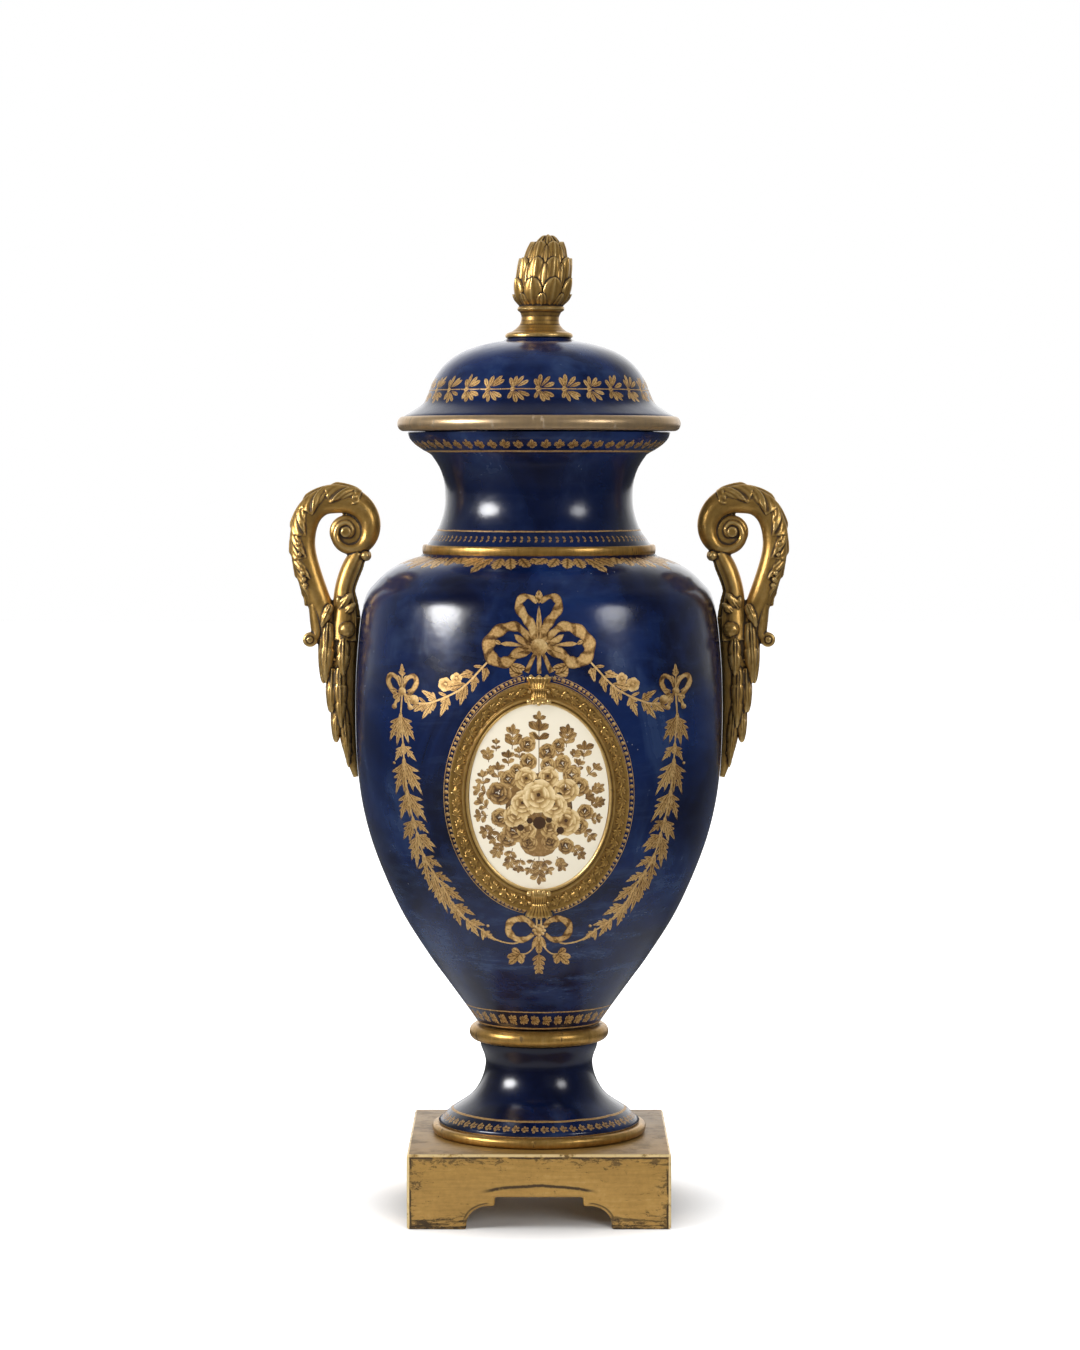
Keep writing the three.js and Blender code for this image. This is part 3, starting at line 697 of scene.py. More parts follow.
def plinth_wear_shade_and_highlight(f):
    """Returns the plinth's dark lines, corners, scratches and painted shade, then its edges, worn and with painted
    highlight, from 0 to 1.
    Its numbers are metres on the plinth, as fronts and flanks are alike."""
    x, y, z = abs(f.part(0)), abs(f.part(1)), f.part(2)
    run = x.smaller(y)
    top = f.ramp(z, 0.0364, 0.0368)
    border = (PLINTH_HALF * MM - run).smaller((PLINTH_HEIGHT * MM - z).larger(0.0))
    near = 1 - f.ramp(border.smaller(z), 0.0, 0.011)
    low = 1 - f.ramp(z, 0.002, 0.011)
    blots = f.noise(150, 6, 0.78, f.stretched((0.8, 0.8, 1.6)), warp=0.5)
    streak = f.noise(240, 6, 0.75, f.stretched((0.25, 0.25, 2.4)))
    worn = f.ramp(blots + near * 0.16, 0.6, 0.7) + f.ramp(streak + near * 0.08 + low * 0.1, 0.62, 0.69)
    shake = (f.noise(110, 4, 0.7) - 0.5) * 0.0016
    rim_line = 1 - f.ramp(abs(border - 0.0018 + shake), 0.00025, 0.0007)
    # Painted shade: a dark arc over each opening and a dark band just outside its rounded corners.
    arch_shade_line = 1 - f.ramp(abs(z - (0.0215 - run * run * 3.6) + shake), 0.0003, 0.0011)
    arch_shade_line = arch_shade_line * (1 - f.ramp(run, 0.022, 0.03))
    far, high = ((run - 0.0246) / 0.0123).larger(0.0), ((z - 0.0026) / 0.0103).larger(0.0)
    curve = 1 - f.ramp(abs((far * far + high * high) - 1.0 + shake * 60), 0.03, 0.13)
    curve = curve * f.ramp(run, 0.0235, 0.026) * f.ramp(z, 0.003, 0.006)
    lines = rim_line.larger(arch_shade_line).larger(curve * 0.8) * (1 - top) * f.patches(0.3, 0.45, 120)
    dull = top * (0.34 + f.patches(0.45, 0.7, 70, 5, 0.7) * 0.3)
    stain_and_shade = (worn * (0.75 - top * 0.45)).larger(lines).larger(dull).smaller(0.95)
    # Worn edges, brightened as a painted highlight along the bevels.
    wear_and_highlight = 1 - f.ramp(border.larger(0.0), 0.0009, 0.0015)
    return stain_and_shade, wear_and_highlight * f.patches(0.35, 0.5, 90, 4, 0.7) * (1 - f.ramp(z, 0.0369, 0.03698))


def closed_ring(low, high, radius, inner, bulge, steps=10):
    """Returns a closed section of a ring: a bulging outer face and a plain inner one."""
    middle, half = (low + high) / 2, (high - low) / 2
    outer = [(radius - bulge + bulge * math.cos(turn), middle + half * math.sin(turn))
             for turn in (math.pi * (index / steps - 0.5) for index in range(steps + 1))]
    return [(inner, low)] + outer + [(inner, high), (inner, low)]


def strip(points, sections, closed=False):
    """Returns the faces of a tube of equal sections listed ring by ring, capped at its ends or closed to a ring."""
    count = len(points) // sections
    faces = [(ring * count + index, ring * count + (index + 1) % count,
              (ring + 1) % sections * count + (index + 1) % count, (ring + 1) % sections * count + index)
             for ring in range(sections if closed else sections - 1) for index in range(count)]
    caps = [tuple(range(count))[::-1], tuple((sections - 1) * count + index for index in range(count))]
    return faces if closed else faces + caps


def sweep(name, stations, section):
    """Sweeps a section along stations of x, z, half depth and half width, in the plane of the handles."""
    track = np.array(spline(stations, 4))
    points = []
    for (x, z, depth, width), (run, rise) in zip(track, headings(track[:, :2])):
        for out, across in section:
            points.append((x + rise * depth * out, across * width, z - run * depth * out))
    return outward(mesh_piece(name, points, strip(points, len(track))))


def outward(piece):
    """Turns a closed piece's normals outwards."""
    edit(piece)
    bpy.ops.mesh.normals_make_consistent(inside=False)
    clear()
    return piece


def fluted(flutes, depth, sides=40):
    """Returns a rounded section, smooth inside and fluted outside."""
    section = []
    for index in range(sides):
        turn = math.tau * index / sides
        out, across = math.cos(turn), math.sin(turn)
        cut = depth * (0.5 - 0.5 * math.cos(flutes * 2 * turn)) * max(0.0, out + 0.35)
        section.append((out * (1 - cut), across * (1 - cut * 0.8)))
    return section


def slab(name, top, under):
    """Makes a closed piece from two grids of points, one over the other."""
    rows, columns = top.shape[:2]
    points = np.concatenate([top.reshape(-1, 3), under.reshape(-1, 3)])
    block = rows * columns
    faces = []
    for row in range(rows - 1):
        for column in range(columns - 1):
            a = row * columns + column
            faces.append((a, a + 1, a + 1 + columns, a + columns))
            faces.append((block + a, block + a + columns, block + a + 1 + columns, block + a + 1))
    border = (list(range(columns)) + [row * columns + columns - 1 for row in range(1, rows)]
              + [(rows - 1) * columns + column for column in range(columns - 2, -1, -1)]
              + [row * columns for row in range(rows - 2, 0, -1)])
    for index, vertex in enumerate(border):
        after = border[(index + 1) % len(border)]
        faces.append((after, vertex, block + vertex, block + after))
    return outward(mesh_piece(name, points, faces))


def acanthus(foot, tip, face, half, thick, curl, lobes, arch=0.6, full=0.42):
    """Makes a carved leaf from foot to tip, with notched edges, slanting ribs and a lifted tip."""
    foot, tip, face = (np.array(value, float) for value in (foot, tip, face))
    length = float(np.linalg.norm(tip - foot))
    ahead = (tip - foot) / length
    face = face - ahead * (face @ ahead)
    face /= np.linalg.norm(face)
    side = np.cross(ahead, face)
    share, v = np.meshgrid(np.linspace(0, 1, 10 * lobes + 11), np.linspace(-1, 1, 17), indexing="ij")
    saw = (share * (lobes + 0.35)) % 1
    keep = 1 - 0.2 * saw ** 2.2
    power = math.log(0.5) / math.log(full)
    wide = half * keep * np.sin(math.pi * np.clip(0.1 + 0.9 * share, 0, 0.999) ** power) ** 0.62
    rib = np.exp(-(v / 0.13) ** 2) * 0.3 - np.exp(-((np.abs(v) - 0.26) / 0.12) ** 2) * 0.22
    vein = 0.07 * np.cos(math.tau * (share * (lobes + 0.35) - np.abs(v) * 0.55))
    vein = vein * np.clip(2.2 * np.abs(v) - 0.3, 0, 1)
    rise = (1 - np.abs(v) ** 2.6) ** 0.5 + rib * (1 - share) + vein * (1 - v ** 4)
    rise = thick * (1 - share ** 4) ** 0.6 * rise
    line = curl * share ** 2.5 + arch * np.sin(math.pi * share)
    slip = half * 0.35 * np.abs(v) ** 1.5 * (1 - share)
    spine = foot + ahead * (length * share + slip)[..., None] + side * (wide * v)[..., None]
    top = spine + face * (line + np.clip(rise, 0, None))[..., None]
    under = spine + face * (line - 0.35 * thick * (1 - v ** 2) - 0.2)[..., None]
    return slab("leaf", top, under)


def bead(place, radius):
    """Makes a bead."""
    clear()
    spot = [value * MM for value in place]
    bpy.ops.mesh.primitive_ico_sphere_add(subdivisions=2, radius=radius * MM, location=spot)
    return settle(bpy.context.object, math.pi)


def hollows(piece, rounds=10):
    """Writes the piece's cavity attribute: above a half on ridges and below in grooves."""
    mesh = piece.data
    count = len(mesh.vertices)

    def read(items, name, width, kind):
        values = np.empty(len(items) * width, kind)
        items.foreach_get(name, values)
        return values.reshape(-1, width)

    places, normals = (read(mesh.vertices, name, 3, float) for name in ("co", "normal"))
    ends = read(mesh.edges, "vertices", 2, int)
    first, second = ends.T
    degree = np.bincount(ends.ravel(), minlength=count)[:, None]
    smooth = places.copy()
    total = np.zeros(count)
    for index in range(rounds):
        sums = np.zeros_like(smooth)
        np.add.at(sums, first, smooth[second])
        np.add.at(sums, second, smooth[first])
        smooth = sums / np.maximum(degree, 1)
        if index in (1, 3, rounds - 1):
            total += ((places - smooth) * normals).sum(axis=1) / (index + 1) ** 0.7
    level = total / (np.abs(total).mean() * 3.4 + 1e-12)
    values = np.clip(0.5 + 0.5 * level, 0, 1).astype(np.float32)
    mesh.attributes.new("cavity", "FLOAT", "POINT").data.foreach_set("value", values)


def cast(pieces, name, grain):
    """Joins pieces into one casting with soft inner corners, its grain in metres."""
    piece = join(pieces, name)
    piece.data.remesh_voxel_size = grain
    choose(piece)
    bpy.ops.object.voxel_remesh()
    modify(piece, "SMOOTH", factor=0.45, iterations=2)
    hollows(piece)
    choose(piece)
    bpy.ops.object.shade_smooth()
    clear()
    return piece


SCROLL = [(103, 279, 4.6, 7), (105.1, 290, 5.2, 6.6), (107.7, 299, 5.8, 6.2), (110.4, 305, 6.2, 5.8),
          (114.4, 316.5, 6.2, 5.6), (117, 326.5, 6, 5.6), (117.8, 334.4, 6, 5.6), (116.8, 342.6, 6.2, 5.7),
          (113.8, 349.2, 6.4, 5.8), (108.6, 353.6, 6.6, 6), (102, 355, 6.8, 6.2), (94.4, 354.6, 6.8, 6.2),
          (88, 350.4, 6.2, 6), (84.6, 343.8, 5.5, 5.8), (85, 336.8, 4.7, 5.6), (88.6, 331.8, 3.9, 5.4),
          (94, 330.4, 3.1, 5.2), (99, 332.4, 2.8, 5), (101.4, 336.9, 2.7, 4.9), (100, 341.8, 2.5, 4.8),
          (96, 343.6, 2.3, 4.8), (93.2, 340.9, 2.1, 4.9), (93.8, 337.6, 2, 5), (96.6, 337.4, 1.8, 5.1)]
STEM = [(90, 328.6, 4, 4.8), (92.6, 322.8, 5.2, 5.6), (95.2, 316.6, 5.3, 6), (97, 310, 5.3, 6.2),
        (96.8, 303.6, 6.4, 6.8), (96.6, 295, 7.6, 8), (97, 285, 7.8, 9)]
DROP = [(95.9, 297, 7.9, 6.4), (97.3, 284, 8.3, 7.2), (97.3, 271, 7.3, 7), (96.7, 258, 6.3, 6.2),
        (96, 246, 5.2, 5.2), (94.9, 234, 4.4, 4.2), (93.2, 225, 3.2, 3.2), (91.4, 216.2, 1.7, 1.2)]
CURL_STEM = [(112.4, 303, 3, 5), (110.6, 294, 4, 5), (110.8, 288, 3.4, 4.6), (113.4, 283.8, 2, 4.2)]


def round_end(centre, radius, half):
    """Makes a short round bar across the handle's plane, with rounded ends."""
    clear()
    bpy.ops.mesh.primitive_cylinder_add(vertices=28, radius=radius * MM, depth=2 * half * MM,
                                        location=(centre[0] * MM, 0, centre[1] * MM), rotation=(math.pi / 2, 0, 0))
    piece = bpy.context.object
    edit(piece, lambda middle, normal: abs(normal.z) > 0.9)
    bpy.ops.mesh.bevel(offset=radius * 0.3 * MM, segments=3, affect="EDGES")
    return settle(piece)


# The long leaf over the outside of the scroll, from its foot to its free tip: x, z, half depth and half width.
SHEATH = [(90, 353.6, 6.2, 6.0), (96, 355.2, 6.7, 6.2), (102.4, 355.4, 6.8, 6.2), (109.0, 353.2, 6.7, 6.1),
          (114.2, 348.4, 6.5, 6.0), (117.0, 341.6, 6.2, 5.8), (117.8, 333, 6.0, 5.7), (117.0, 325, 5.7, 5.6),
          (115.2, 317, 5.2, 5.2), (114.2, 310, 3.9, 4.2), (115.0, 304.6, 1.9, 2.2), (116.0, 301.6, 0.4, 0.5)]


def sheath(lobes=6, reach=1.8):
    """Makes the notched leaf that wraps the outside of the scroll, its lobes slanting towards its tip."""
    track = np.array(spline(SHEATH, 14))
    ahead = headings(track[:, :2])
    steps = np.concatenate([[0], np.cumsum(np.linalg.norm(np.diff(track[:, :2], axis=0), axis=1))])
    share, v = np.meshgrid(steps / steps[-1], np.linspace(-1, 1, 61), indexing="ij")
    side = np.abs(v)
    phase = share * (lobes + 0.4) - 1.3 * side
    lobe, edge = phase % 1, (share * (lobes + 0.4) - 1.3) % 1
    turn = v * reach * (1 - 0.3 * (1 - edge) ** 1.6)
    lift = 0.1 + 1.9 * lobe ** 1.5 * np.clip((1 - lobe) / 0.08, 0, 1) * (0.6 + 0.4 * side)
    lift += 0.5 * np.exp(-(v / 0.09) ** 2) + 0.24 * np.cos(math.tau * 3 * phase) * side
    lift -= 0.3 * np.exp(-((side - 0.16) / 0.05) ** 2)
    lift *= np.clip(share / 0.04, 0, 1) * np.clip((1.001 - side) / 0.06, 0.25, 1)

    x, z, depth, width = (track[:, part][:, None] for part in range(4))

    def face(height):
        out = (depth + height) * np.cos(turn)
        return np.stack([x - ahead[:, 1][:, None] * out, (width + height) * np.sin(turn),
                         z + ahead[:, 0][:, None] * out], axis=2)

    return slab("sheath", face(lift), face(np.full_like(lift, -1.2) * np.clip((1 - share) / 0.1, 0.1, 1)))


# Leaves of the right handle: foot, tip, way they face, half width, thickness, curl and lobes.
LEAVES = [
    ((107.0, 0, 293), (107.2, 0, 263), (1, 0, 0), 5.0, 2.6, 1.0, 2),
    ((104.4, 4.6, 294), (106.2, 5.0, 263.4), (0.3, 1, 0), 3.7, 3.0, 0.8, 2),
    ((97.6, 6.4, 286), (97.9, 7.0, 266.6), (0, 1, 0), 3.5, 3.0, 0.9, 2),
    ((103.2, 0, 271), (103.8, 0, 248.4), (1, 0, 0), 4.4, 2.4, 0.9, 2),
    ((102.4, 4.0, 271), (103.2, 4.4, 248.6), (0.3, 1, 0), 3.3, 2.8, 0.8, 2),
    ((99.2, 5.8, 272), (98.8, 5.8, 241.0), (0, 1, 0), 3.3, 2.8, 0.7, 3),
    ((101.2, 0, 254), (101.3, 0, 233.4), (1, 0, 0), 3.6, 2.2, 0.8, 2),
    ((100.4, 3.4, 254), (100.9, 3.6, 233.6), (0.3, 1, 0), 2.7, 2.4, 0.7, 2),
    ((97.6, 4.6, 252), (95.2, 3.4, 221.0), (0, 1, 0), 2.7, 2.4, 0.5, 3),
    ((99.4, 4.6, 301), (93.4, 6.0, 308.6), (0, 1, 0), 2.6, 2.0, 1.2, 1),
    ((96.6, 5.2, 299), (91.4, 5.6, 303.6), (0, 1, 0), 2.2, 2.0, 1.2, 1),
    ((97.8, 3.0, 299), (100.6, 5.0, 307.0), (0, 1, 0), 2.4, 2.0, 1.2, 1),
    ((103.6, 5.6, 303), (108.4, 6.2, 291.4), (0.2, 1, 0), 2.5, 2.2, 0.6, 2),
]
# Beads of the right handle: place and radius.
BEADS = [
    ((95.9, 6.4, 290.4), 4.3), ((86.6, 3.6, 327.2), 2.4), ((86.6, 0, 327.2), 3.0), ((117.9, 6.6, 318.6), 1.3),
    ((117.2, 6.8, 315.4), 1.3), ((116.6, 6.8, 312.4), 1.3), ((119.6, 6.2, 330.5), 1.1), ((119.2, 6.2, 327.8), 1.1),
    ((119.8, 6.2, 333.2), 1.1), ((96.2, 6.0, 241.6), 1.1), ((95.7, 5.6, 238.2), 1.1), ((95.3, 5.2, 234.9), 1.1),
    ((94.9, 4.8, 231.6), 1.1), ((94.5, 4.4, 228.4), 1.0), ((98.4, 8.0, 279.6), 1.1), ((98.2, 8.2, 262.2), 1.1),
    ((98.2, 8.0, 259.2), 1.1), ((98.0, 7.8, 256.2), 1.1), ((101.4, 6.4, 262.4), 1.0),
]


def both(foot):
    """Returns the mirrorings that a part needs: one in the middle of the handle, and two beside it."""
    return [np.array((1, flip, 1)) for flip in ((1, -1) if foot[1] else (1,))]


def handle(grain):
    """Makes the right handle."""
    parts = [sweep("scroll", SCROLL, fluted(2, 0.05)), sweep("stem", STEM, fluted(4, 0.2)),
             sweep("drop", DROP, fluted(3, 0.1)), sweep("curl", CURL_STEM, fluted(2, 0.1, 24))]
    for centre, radius, half in (((96.3, 339), 8.4, 3.6), ((96.3, 339), 2.6, 5.9), ((114.4, 285.2), 3.7, 4.4),
                                 ((114.4, 285.2), 1.5, 5.4)):
        parts.append(round_end(centre, radius, half))
    parts.append(sheath())
    for foot, tip, face, *measures in LEAVES:
        parts += [acanthus(foot * turn, tip * turn, face * turn, *measures) for turn in both(foot)]
    for spot, radius in BEADS:
        parts += [bead(spot * turn, radius) for turn in both(spot)]
    return cast(parts, "handle_right", grain)


def cut_by_belly(piece):
    """Cuts a casting back to the belly, with a hair's gap."""
    belly = [(r + HAIR, z) for r, z in spline(BELLY, 6) if z > BELLY_CUT]
    cutter = turned("cutter", [(0, BELLY_CUT)] + belly + [(0, BELLY[-1][1])])
    modify(piece, "BOOLEAN", operation="DIFFERENCE", object=cutter, solver="EXACT")
    bpy.data.objects.remove(cutter)


def handles(material, sizes):
    """Makes both handles, the left one as the right one turned round."""
    right = handle(sizes.handle_grain)
    cut_by_belly(right)
    left = right.copy()
    left.data = right.data.copy()
    left.name = "handle_left"
    bpy.context.scene.collection.objects.link(left)
    choose(left)
    bpy.ops.transform.rotate(value=math.pi, orient_axis="Z", center_override=(0, 0, 0))
    bpy.ops.object.transform_apply(location=True, rotation=True, scale=True)
    clear()
    place(right, "handle_right", "gilt_bronze", material)
    place(left, "handle_left", "gilt_bronze", material)


# Painted ornament, in millimetres as seen from the front, right of the middle or round the left side.
SWAG = [
    ((-67.0, 251.4), [(-72.7, 238.3), (-68.9, 236.2), (-62.9, 237.6), (-59.9, 239.3)]),
    ((-65.8, 237.0), [(-70.0, 228.6), (-59.1, 229.4)]),
    ((-65.4, 229.8), [(-69.7, 212.0), (-65.2, 212.9), (-60.5, 214.3), (-56.0, 212.7)]),
    ((-63.8, 214.5), [(-67.3, 199.7), (-62.6, 201.2), (-58.1, 200.7), (-54.0, 199.7)]),
    ((-61.1, 200.9), [(-66.2, 189.7), (-63.0, 189.1), (-52.9, 194.1)]),
    ((-59.0, 193.6), [(-62.2, 179.4), (-59.5, 175.6), (-49.6, 187.6), (-50.5, 184.7)]),
    ((-55.9, 182.8), [(-53.3, 166.4), (-46.5, 177.6)]),
    ((-51.5, 174.9), [(-48.4, 158.6), (-44.4, 153.8), (-41.7, 170.4)]),
    ((-46.6, 167.6), [(-42.9, 155.9), (-39.3, 164.0), (-35.7, 160.7)]),
    ((-41.9, 159.3), [(-37.9, 147.4), (-35.5, 150.8), (-30.6, 154.0)]),
    ((-34.6, 151.1), [(-29.0, 142.7), (-25.7, 149.1)]),
    ((-27.3, 146.4), [(-20.9, 141.1)]),
]
SWAG_END = [(-20.9, 141.8), (-12.7, 140.0), (-7.9, 141.8)]
GARLAND = [(-64.5, 259.6), (-58.3, 257.7), (-52.9, 258.0), (-45.8, 260.7), (-38.8, 264.3), (-33.5, 268.7),
           (-28.2, 274.5), (-22.4, 280.8)]
GARLAND_LEAVES = [((-50.5, 259.1), (-56.4, 250.1)), ((-43.1, 262.2), (-47.5, 251.5)),
                  ((-35.4, 267.2), (-37.8, 257.1)), ((-30.1, 272.1), (-32.0, 263.5)),
                  ((-24.8, 276.0), (-26.7, 268.8)), ((-31.1, 273.5), (-39.3, 270.9)),
                  ((-49.0, 259.6), (-56.8, 264.1)), ((-54.4, 258.0), (-60.6, 253.4))]
SIDE_BOW = [(0.0, 0.2), (-2.3, 5.9), (-5.7, 7.7), (-7.1, 4.5), (-5.1, 0.5), (-2.7, -1.8), (-0.2, -1.0)]
HEART = [(1.4, 289.0), (2.5, 293.0), (4.2, 296.8), (6.8, 300.2), (9.1, 303.7), (9.3, 307.4), (6.8, 309.5),
         (3.8, 309.2), (0.8, 307.0)]
TOP_LOOP = [(3.0, 288.4), (7.5, 293.2), (11.2, 295.4), (15.5, 295.0), (19.9, 292.8), (23.2, 289.1), (24.3, 284.7),
            (22.5, 280.4), (18.5, 278.2), (14.4, 279.0), (11.2, 282.2), (7.5, 284.6), (3.2, 285.8)]
LOW_LOOP = [(2.6, 148.8), (4.6, 151.6), (7.8, 153.1), (11.2, 152.8), (14.0, 150.9), (14.9, 147.6), (13.2, 144.1),
            (9.8, 142.2), (6.0, 142.7), (3.0, 145.2)]


def mirrored(points, flip):
    """Returns points as they are or mirrored about the middle."""
    return [(x * flip, z) for x, z in points]


def towards(angle):
    """Returns the direction at an angle."""
    return np.array((math.cos(angle), math.sin(angle)))


def fingered(picture, foot, tip, half):
    """Paints a leaf with pointed fingers along both sides."""
    foot, tip = np.array(foot, float), np.array(tip, float)
    ahead = tip - foot
    length = float(np.linalg.norm(ahead))
    heading = math.atan2(ahead[1], ahead[0])
    tone = picture.chance.random()
    for share, spread, size in ((0.3, 34, 0.42), (0.52, 28, 0.36), (0.72, 22, 0.26)):
        for side in (1, -1):
            way = heading + side * math.radians(spread + picture.chance.uniform(-4, 4))
            start = foot + ahead * (share - 0.24)
            end = start + length * size * picture.chance.uniform(0.92, 1.08) * towards(way)
            picture.leaf(start, end, half * 0.27, bend=-side * length * 0.04, full=0.6, tone=tone)
    picture.leaf(foot, tip, half * 0.34, full=0.5, tone=min(1, tone + 0.1))


# Leaves of the large bow and folds of its loops: foot, tip, half width, bend and where they are fullest.
BOW_LEAVES = (((8.5, 276.4), (12.8, 271.2), 3.0, 1.0, 0.5), ((7.4, 273.0), (13.8, 276.4), 2.9, -1.2, 0.6),
              ((13.6, 277.4), (6.2, 275.6), 2.2, 0.8, 0.5))
BOW_FOLDS = (((2.6, 286.4), (11.8, 291.6), 1.7, -0.7, 0.6), ((3.0, 285.4), (18.6, 287.2), 1.2, 0.5, 0.75),
             ((3.0, 284.6), (13.6, 281.2), 1.6, -0.8, 0.5))


def bow(picture):
    """Paints the large bow above the frame."""
    centre = np.array((0, 285.6))
    for flip in (1, -1):
        for foot, tip, half, bend, full in BOW_LEAVES:
            picture.leaf(*mirrored([foot, tip], flip), half, bend=flip * bend, full=full)
        loop = spline(mirrored(TOP_LOOP, flip), 4)
        picture.ribbon(loop, [(2.6 + 3.2 * math.sin(math.pi * index / (len(loop) - 1)) ** 0.8)
                              * (1 + 0.16 * math.sin(index * 0.95)) for index in range(len(loop))], pitch=7.4)
        for foot, tip, half, bend, full in BOW_FOLDS:
            picture.leaf(*mirrored([foot, tip], flip), half, bend=flip * bend, full=full, kind=RIBBON)
        picture.leaf((18.0 * flip, 286.9), (20.9 * flip, 288.6), 1.1, full=0.6)
        legs = spline([(1.8 * flip, 283), (3.6 * flip, 279), (6.0 * flip, 273.6)], 5)
        picture.ribbon(legs, np.linspace(1.6, 2.7, len(legs)), pitch=7)
        for angle in (22, 38):
            reach = towards(math.radians(90 - flip * angle))
            picture.ribbon([centre + reach * 3, centre + reach * 8.6], 0.5, kind=LINE)
        heart = spline(mirrored(HEART, flip), 4)
        picture.ribbon(heart, [(2.4 + 2.2 * math.sin(math.pi * min(1, index / (len(heart) - 1) + 0.2)) ** 0.5)
                               * (1 + 0.14 * math.sin(index * 0.9)) for index in range(len(heart))], pitch=7.8)
    picture.ribbon([(0, 283), (0.1, 273)], 2.1, pitch=7)
    picture.leaf((0, 287.5), (0, 305.6), 1.5, full=0.35)
    picture.leaf((0, 306.2), (0, 312.8), 1.9, full=0.45)
    picture.disc((0, 309.0), 1.1)
    picture.disc((0, 285.6), 4.1, sides=28, tone=0.6)


def small_bow(picture, flip):
    """Paints a small bow beside the frame, with its bud and tails."""
    middle = np.array((66.2 * flip, 263.0))
    for side in (1, -1):
        loop = [middle + (x * side, z) for x, z in spline(SIDE_BOW, 4)]
        widths = [1.3 + 1.3 * math.sin(math.pi * index / (len(loop) - 1)) for index in range(len(loop))]
        picture.ribbon(loop, widths, pitch=9)
        tail = spline([middle, middle + (2.4 * side, -3.8), middle + (4.0 * side, -7.6)], 4)
        picture.ribbon(tail, np.linspace(1.0, 1.8, len(tail)), pitch=9)
        picture.disc(tail[-1], 1.3)
        for x, z in ((-3.1, -5.6), (4.6, -3.6), (6.4, 0.6), (2.4, 7.8)):
            picture.leaf(middle + (x * side * 0.3, z * 0.3), middle + (x * side, z), 1.25, full=0.65)
    fingered(picture, middle + (0, 6.5), middle + (-0.2, 13.6), 2.6)
    picture.ribbon([middle + (0, 8.4), middle + (0, 0)], 0.6, kind=LINE)
    picture.disc(middle, 1.9)


def swag(picture, flip):
    """Paints the hanging garland down one side of the frame to the lower bow."""
    stem = spline(mirrored([start for start, _ in SWAG] + SWAG_END, flip), 3)
    picture.ribbon([(-66.2 * flip, 262), stem[0]], 0.8, kind=LINE, tone=0.6)
    for start, tips in SWAG:
        start = np.array(mirrored([start], flip)[0])
        for tip in tips:
            tip = np.array(mirrored([tip], flip)[0])
            reach = float(np.linalg.norm(tip - start))
            half = 2.1 if reach > 11 else 1.7
            if reach < 10 and len(tips) == 2:
                fingered(picture, start, tip, 2.4)
                picture.disc(tip + (tip - start) / reach * 0.9, 0.75, sides=8)
                continue
            fingered(picture, start, tip, half * 1.5)
        picture.leaf(start + (0, 1.6), start + (0, -5.5), 1.0, tone=0.9)
    picture.ribbon(stem, 0.75, kind=LINE, tone=0.7)


def upper_garland(picture, flip):
    """Paints the garland from a small bow up to the large one."""
    stem = spline(mirrored(GARLAND, flip), 4)
    for foot, tip in GARLAND_LEAVES:
        fingered(picture, *mirrored([foot, tip], flip), 3.5)
    for index in range(4, len(stem) - 2, 3):
        (x, z), (after_x, after_z) = stem[index], stem[index + 1]
        way = math.atan2(z - after_z, x - after_x)
        for turn in (-0.85, 0.85):
            picture.leaf((x, z), (x, z) + 4.8 * towards(way + turn), 0.8, full=0.5)
    picture.ribbon(stem, 0.85, kind=LINE, tone=0.95)
    picture.flower((-45.0 * flip, 267.2), 3.6, 6)
    picture.flower((-39.6 * flip, 270.2), 3.0, 5)
    picture.leaf((-36.5 * flip, 267.4), (-44.0 * flip, 266.0), 1.6)
    picture.disc((-60.3 * flip, 259.2), 2.4, sides=12)


def low_bow(picture):
    """Paints the bow and the sprigs below the frame."""
    for flip in (1, -1):
        picture.ribbon([(1.15 * flip, 154.6), (1.05 * flip, 149)], 0.8, kind=LINE, tone=0.9)
        loop = spline(mirrored(LOW_LOOP, flip), 4)
        picture.ribbon(loop, [(2.0 + 1.5 * math.sin(math.pi * index / (len(loop) - 1)) ** 0.6)
                              * (1 + 0.14 * math.sin(index * 0.9)) for index in range(len(loop))], pitch=6.4)
        for index in range(5, len(loop) - 4, 5):
            picture.disc(loop[index], 0.5, sides=6, tone=0.0)
        picture.leaf((0.8 * flip, 144.2), (3.4 * flip, 137.6), 1.5, bend=-0.4 * flip)
        twist = spline(mirrored([(0.9, 144), (2.9, 138), (6.0, 134.9), (9.2, 134.6)], flip), 3)
        picture.ribbon(twist, 0.7, kind=LINE)
        for tip in ((13.2, 137.4), (15.8, 132.6), (14.8, 128.8), (8.6, 129.2), (7.6, 131.8)):
            picture.leaf((9.0 * flip, 134.6), (tip[0] * flip, tip[1]), 1.7, full=0.6)
    knot = np.array((0, 147.1))
    for index in range(8):
        picture.disc(knot + 2.4 * towards(math.tau * index / 8), 1.0, sides=8)
    picture.disc(knot, 1.7, sides=16)
    picture.ribbon([(0, 144.6), (0, 136)], 0.7, kind=LINE)
    picture.leaf((0, 142.0), (0, 134.6), 1.7, full=0.6)
    for step in range(4):
        z = 134.4 - step * 2.4
        for flip in (1, -1):
            picture.leaf((0, z), ((3.3 - 0.5 * step) * flip, z - 3.4), 0.8, full=0.6)
    picture.leaf((0, 135.2), (0, 123.6), 1.2, full=0.4)


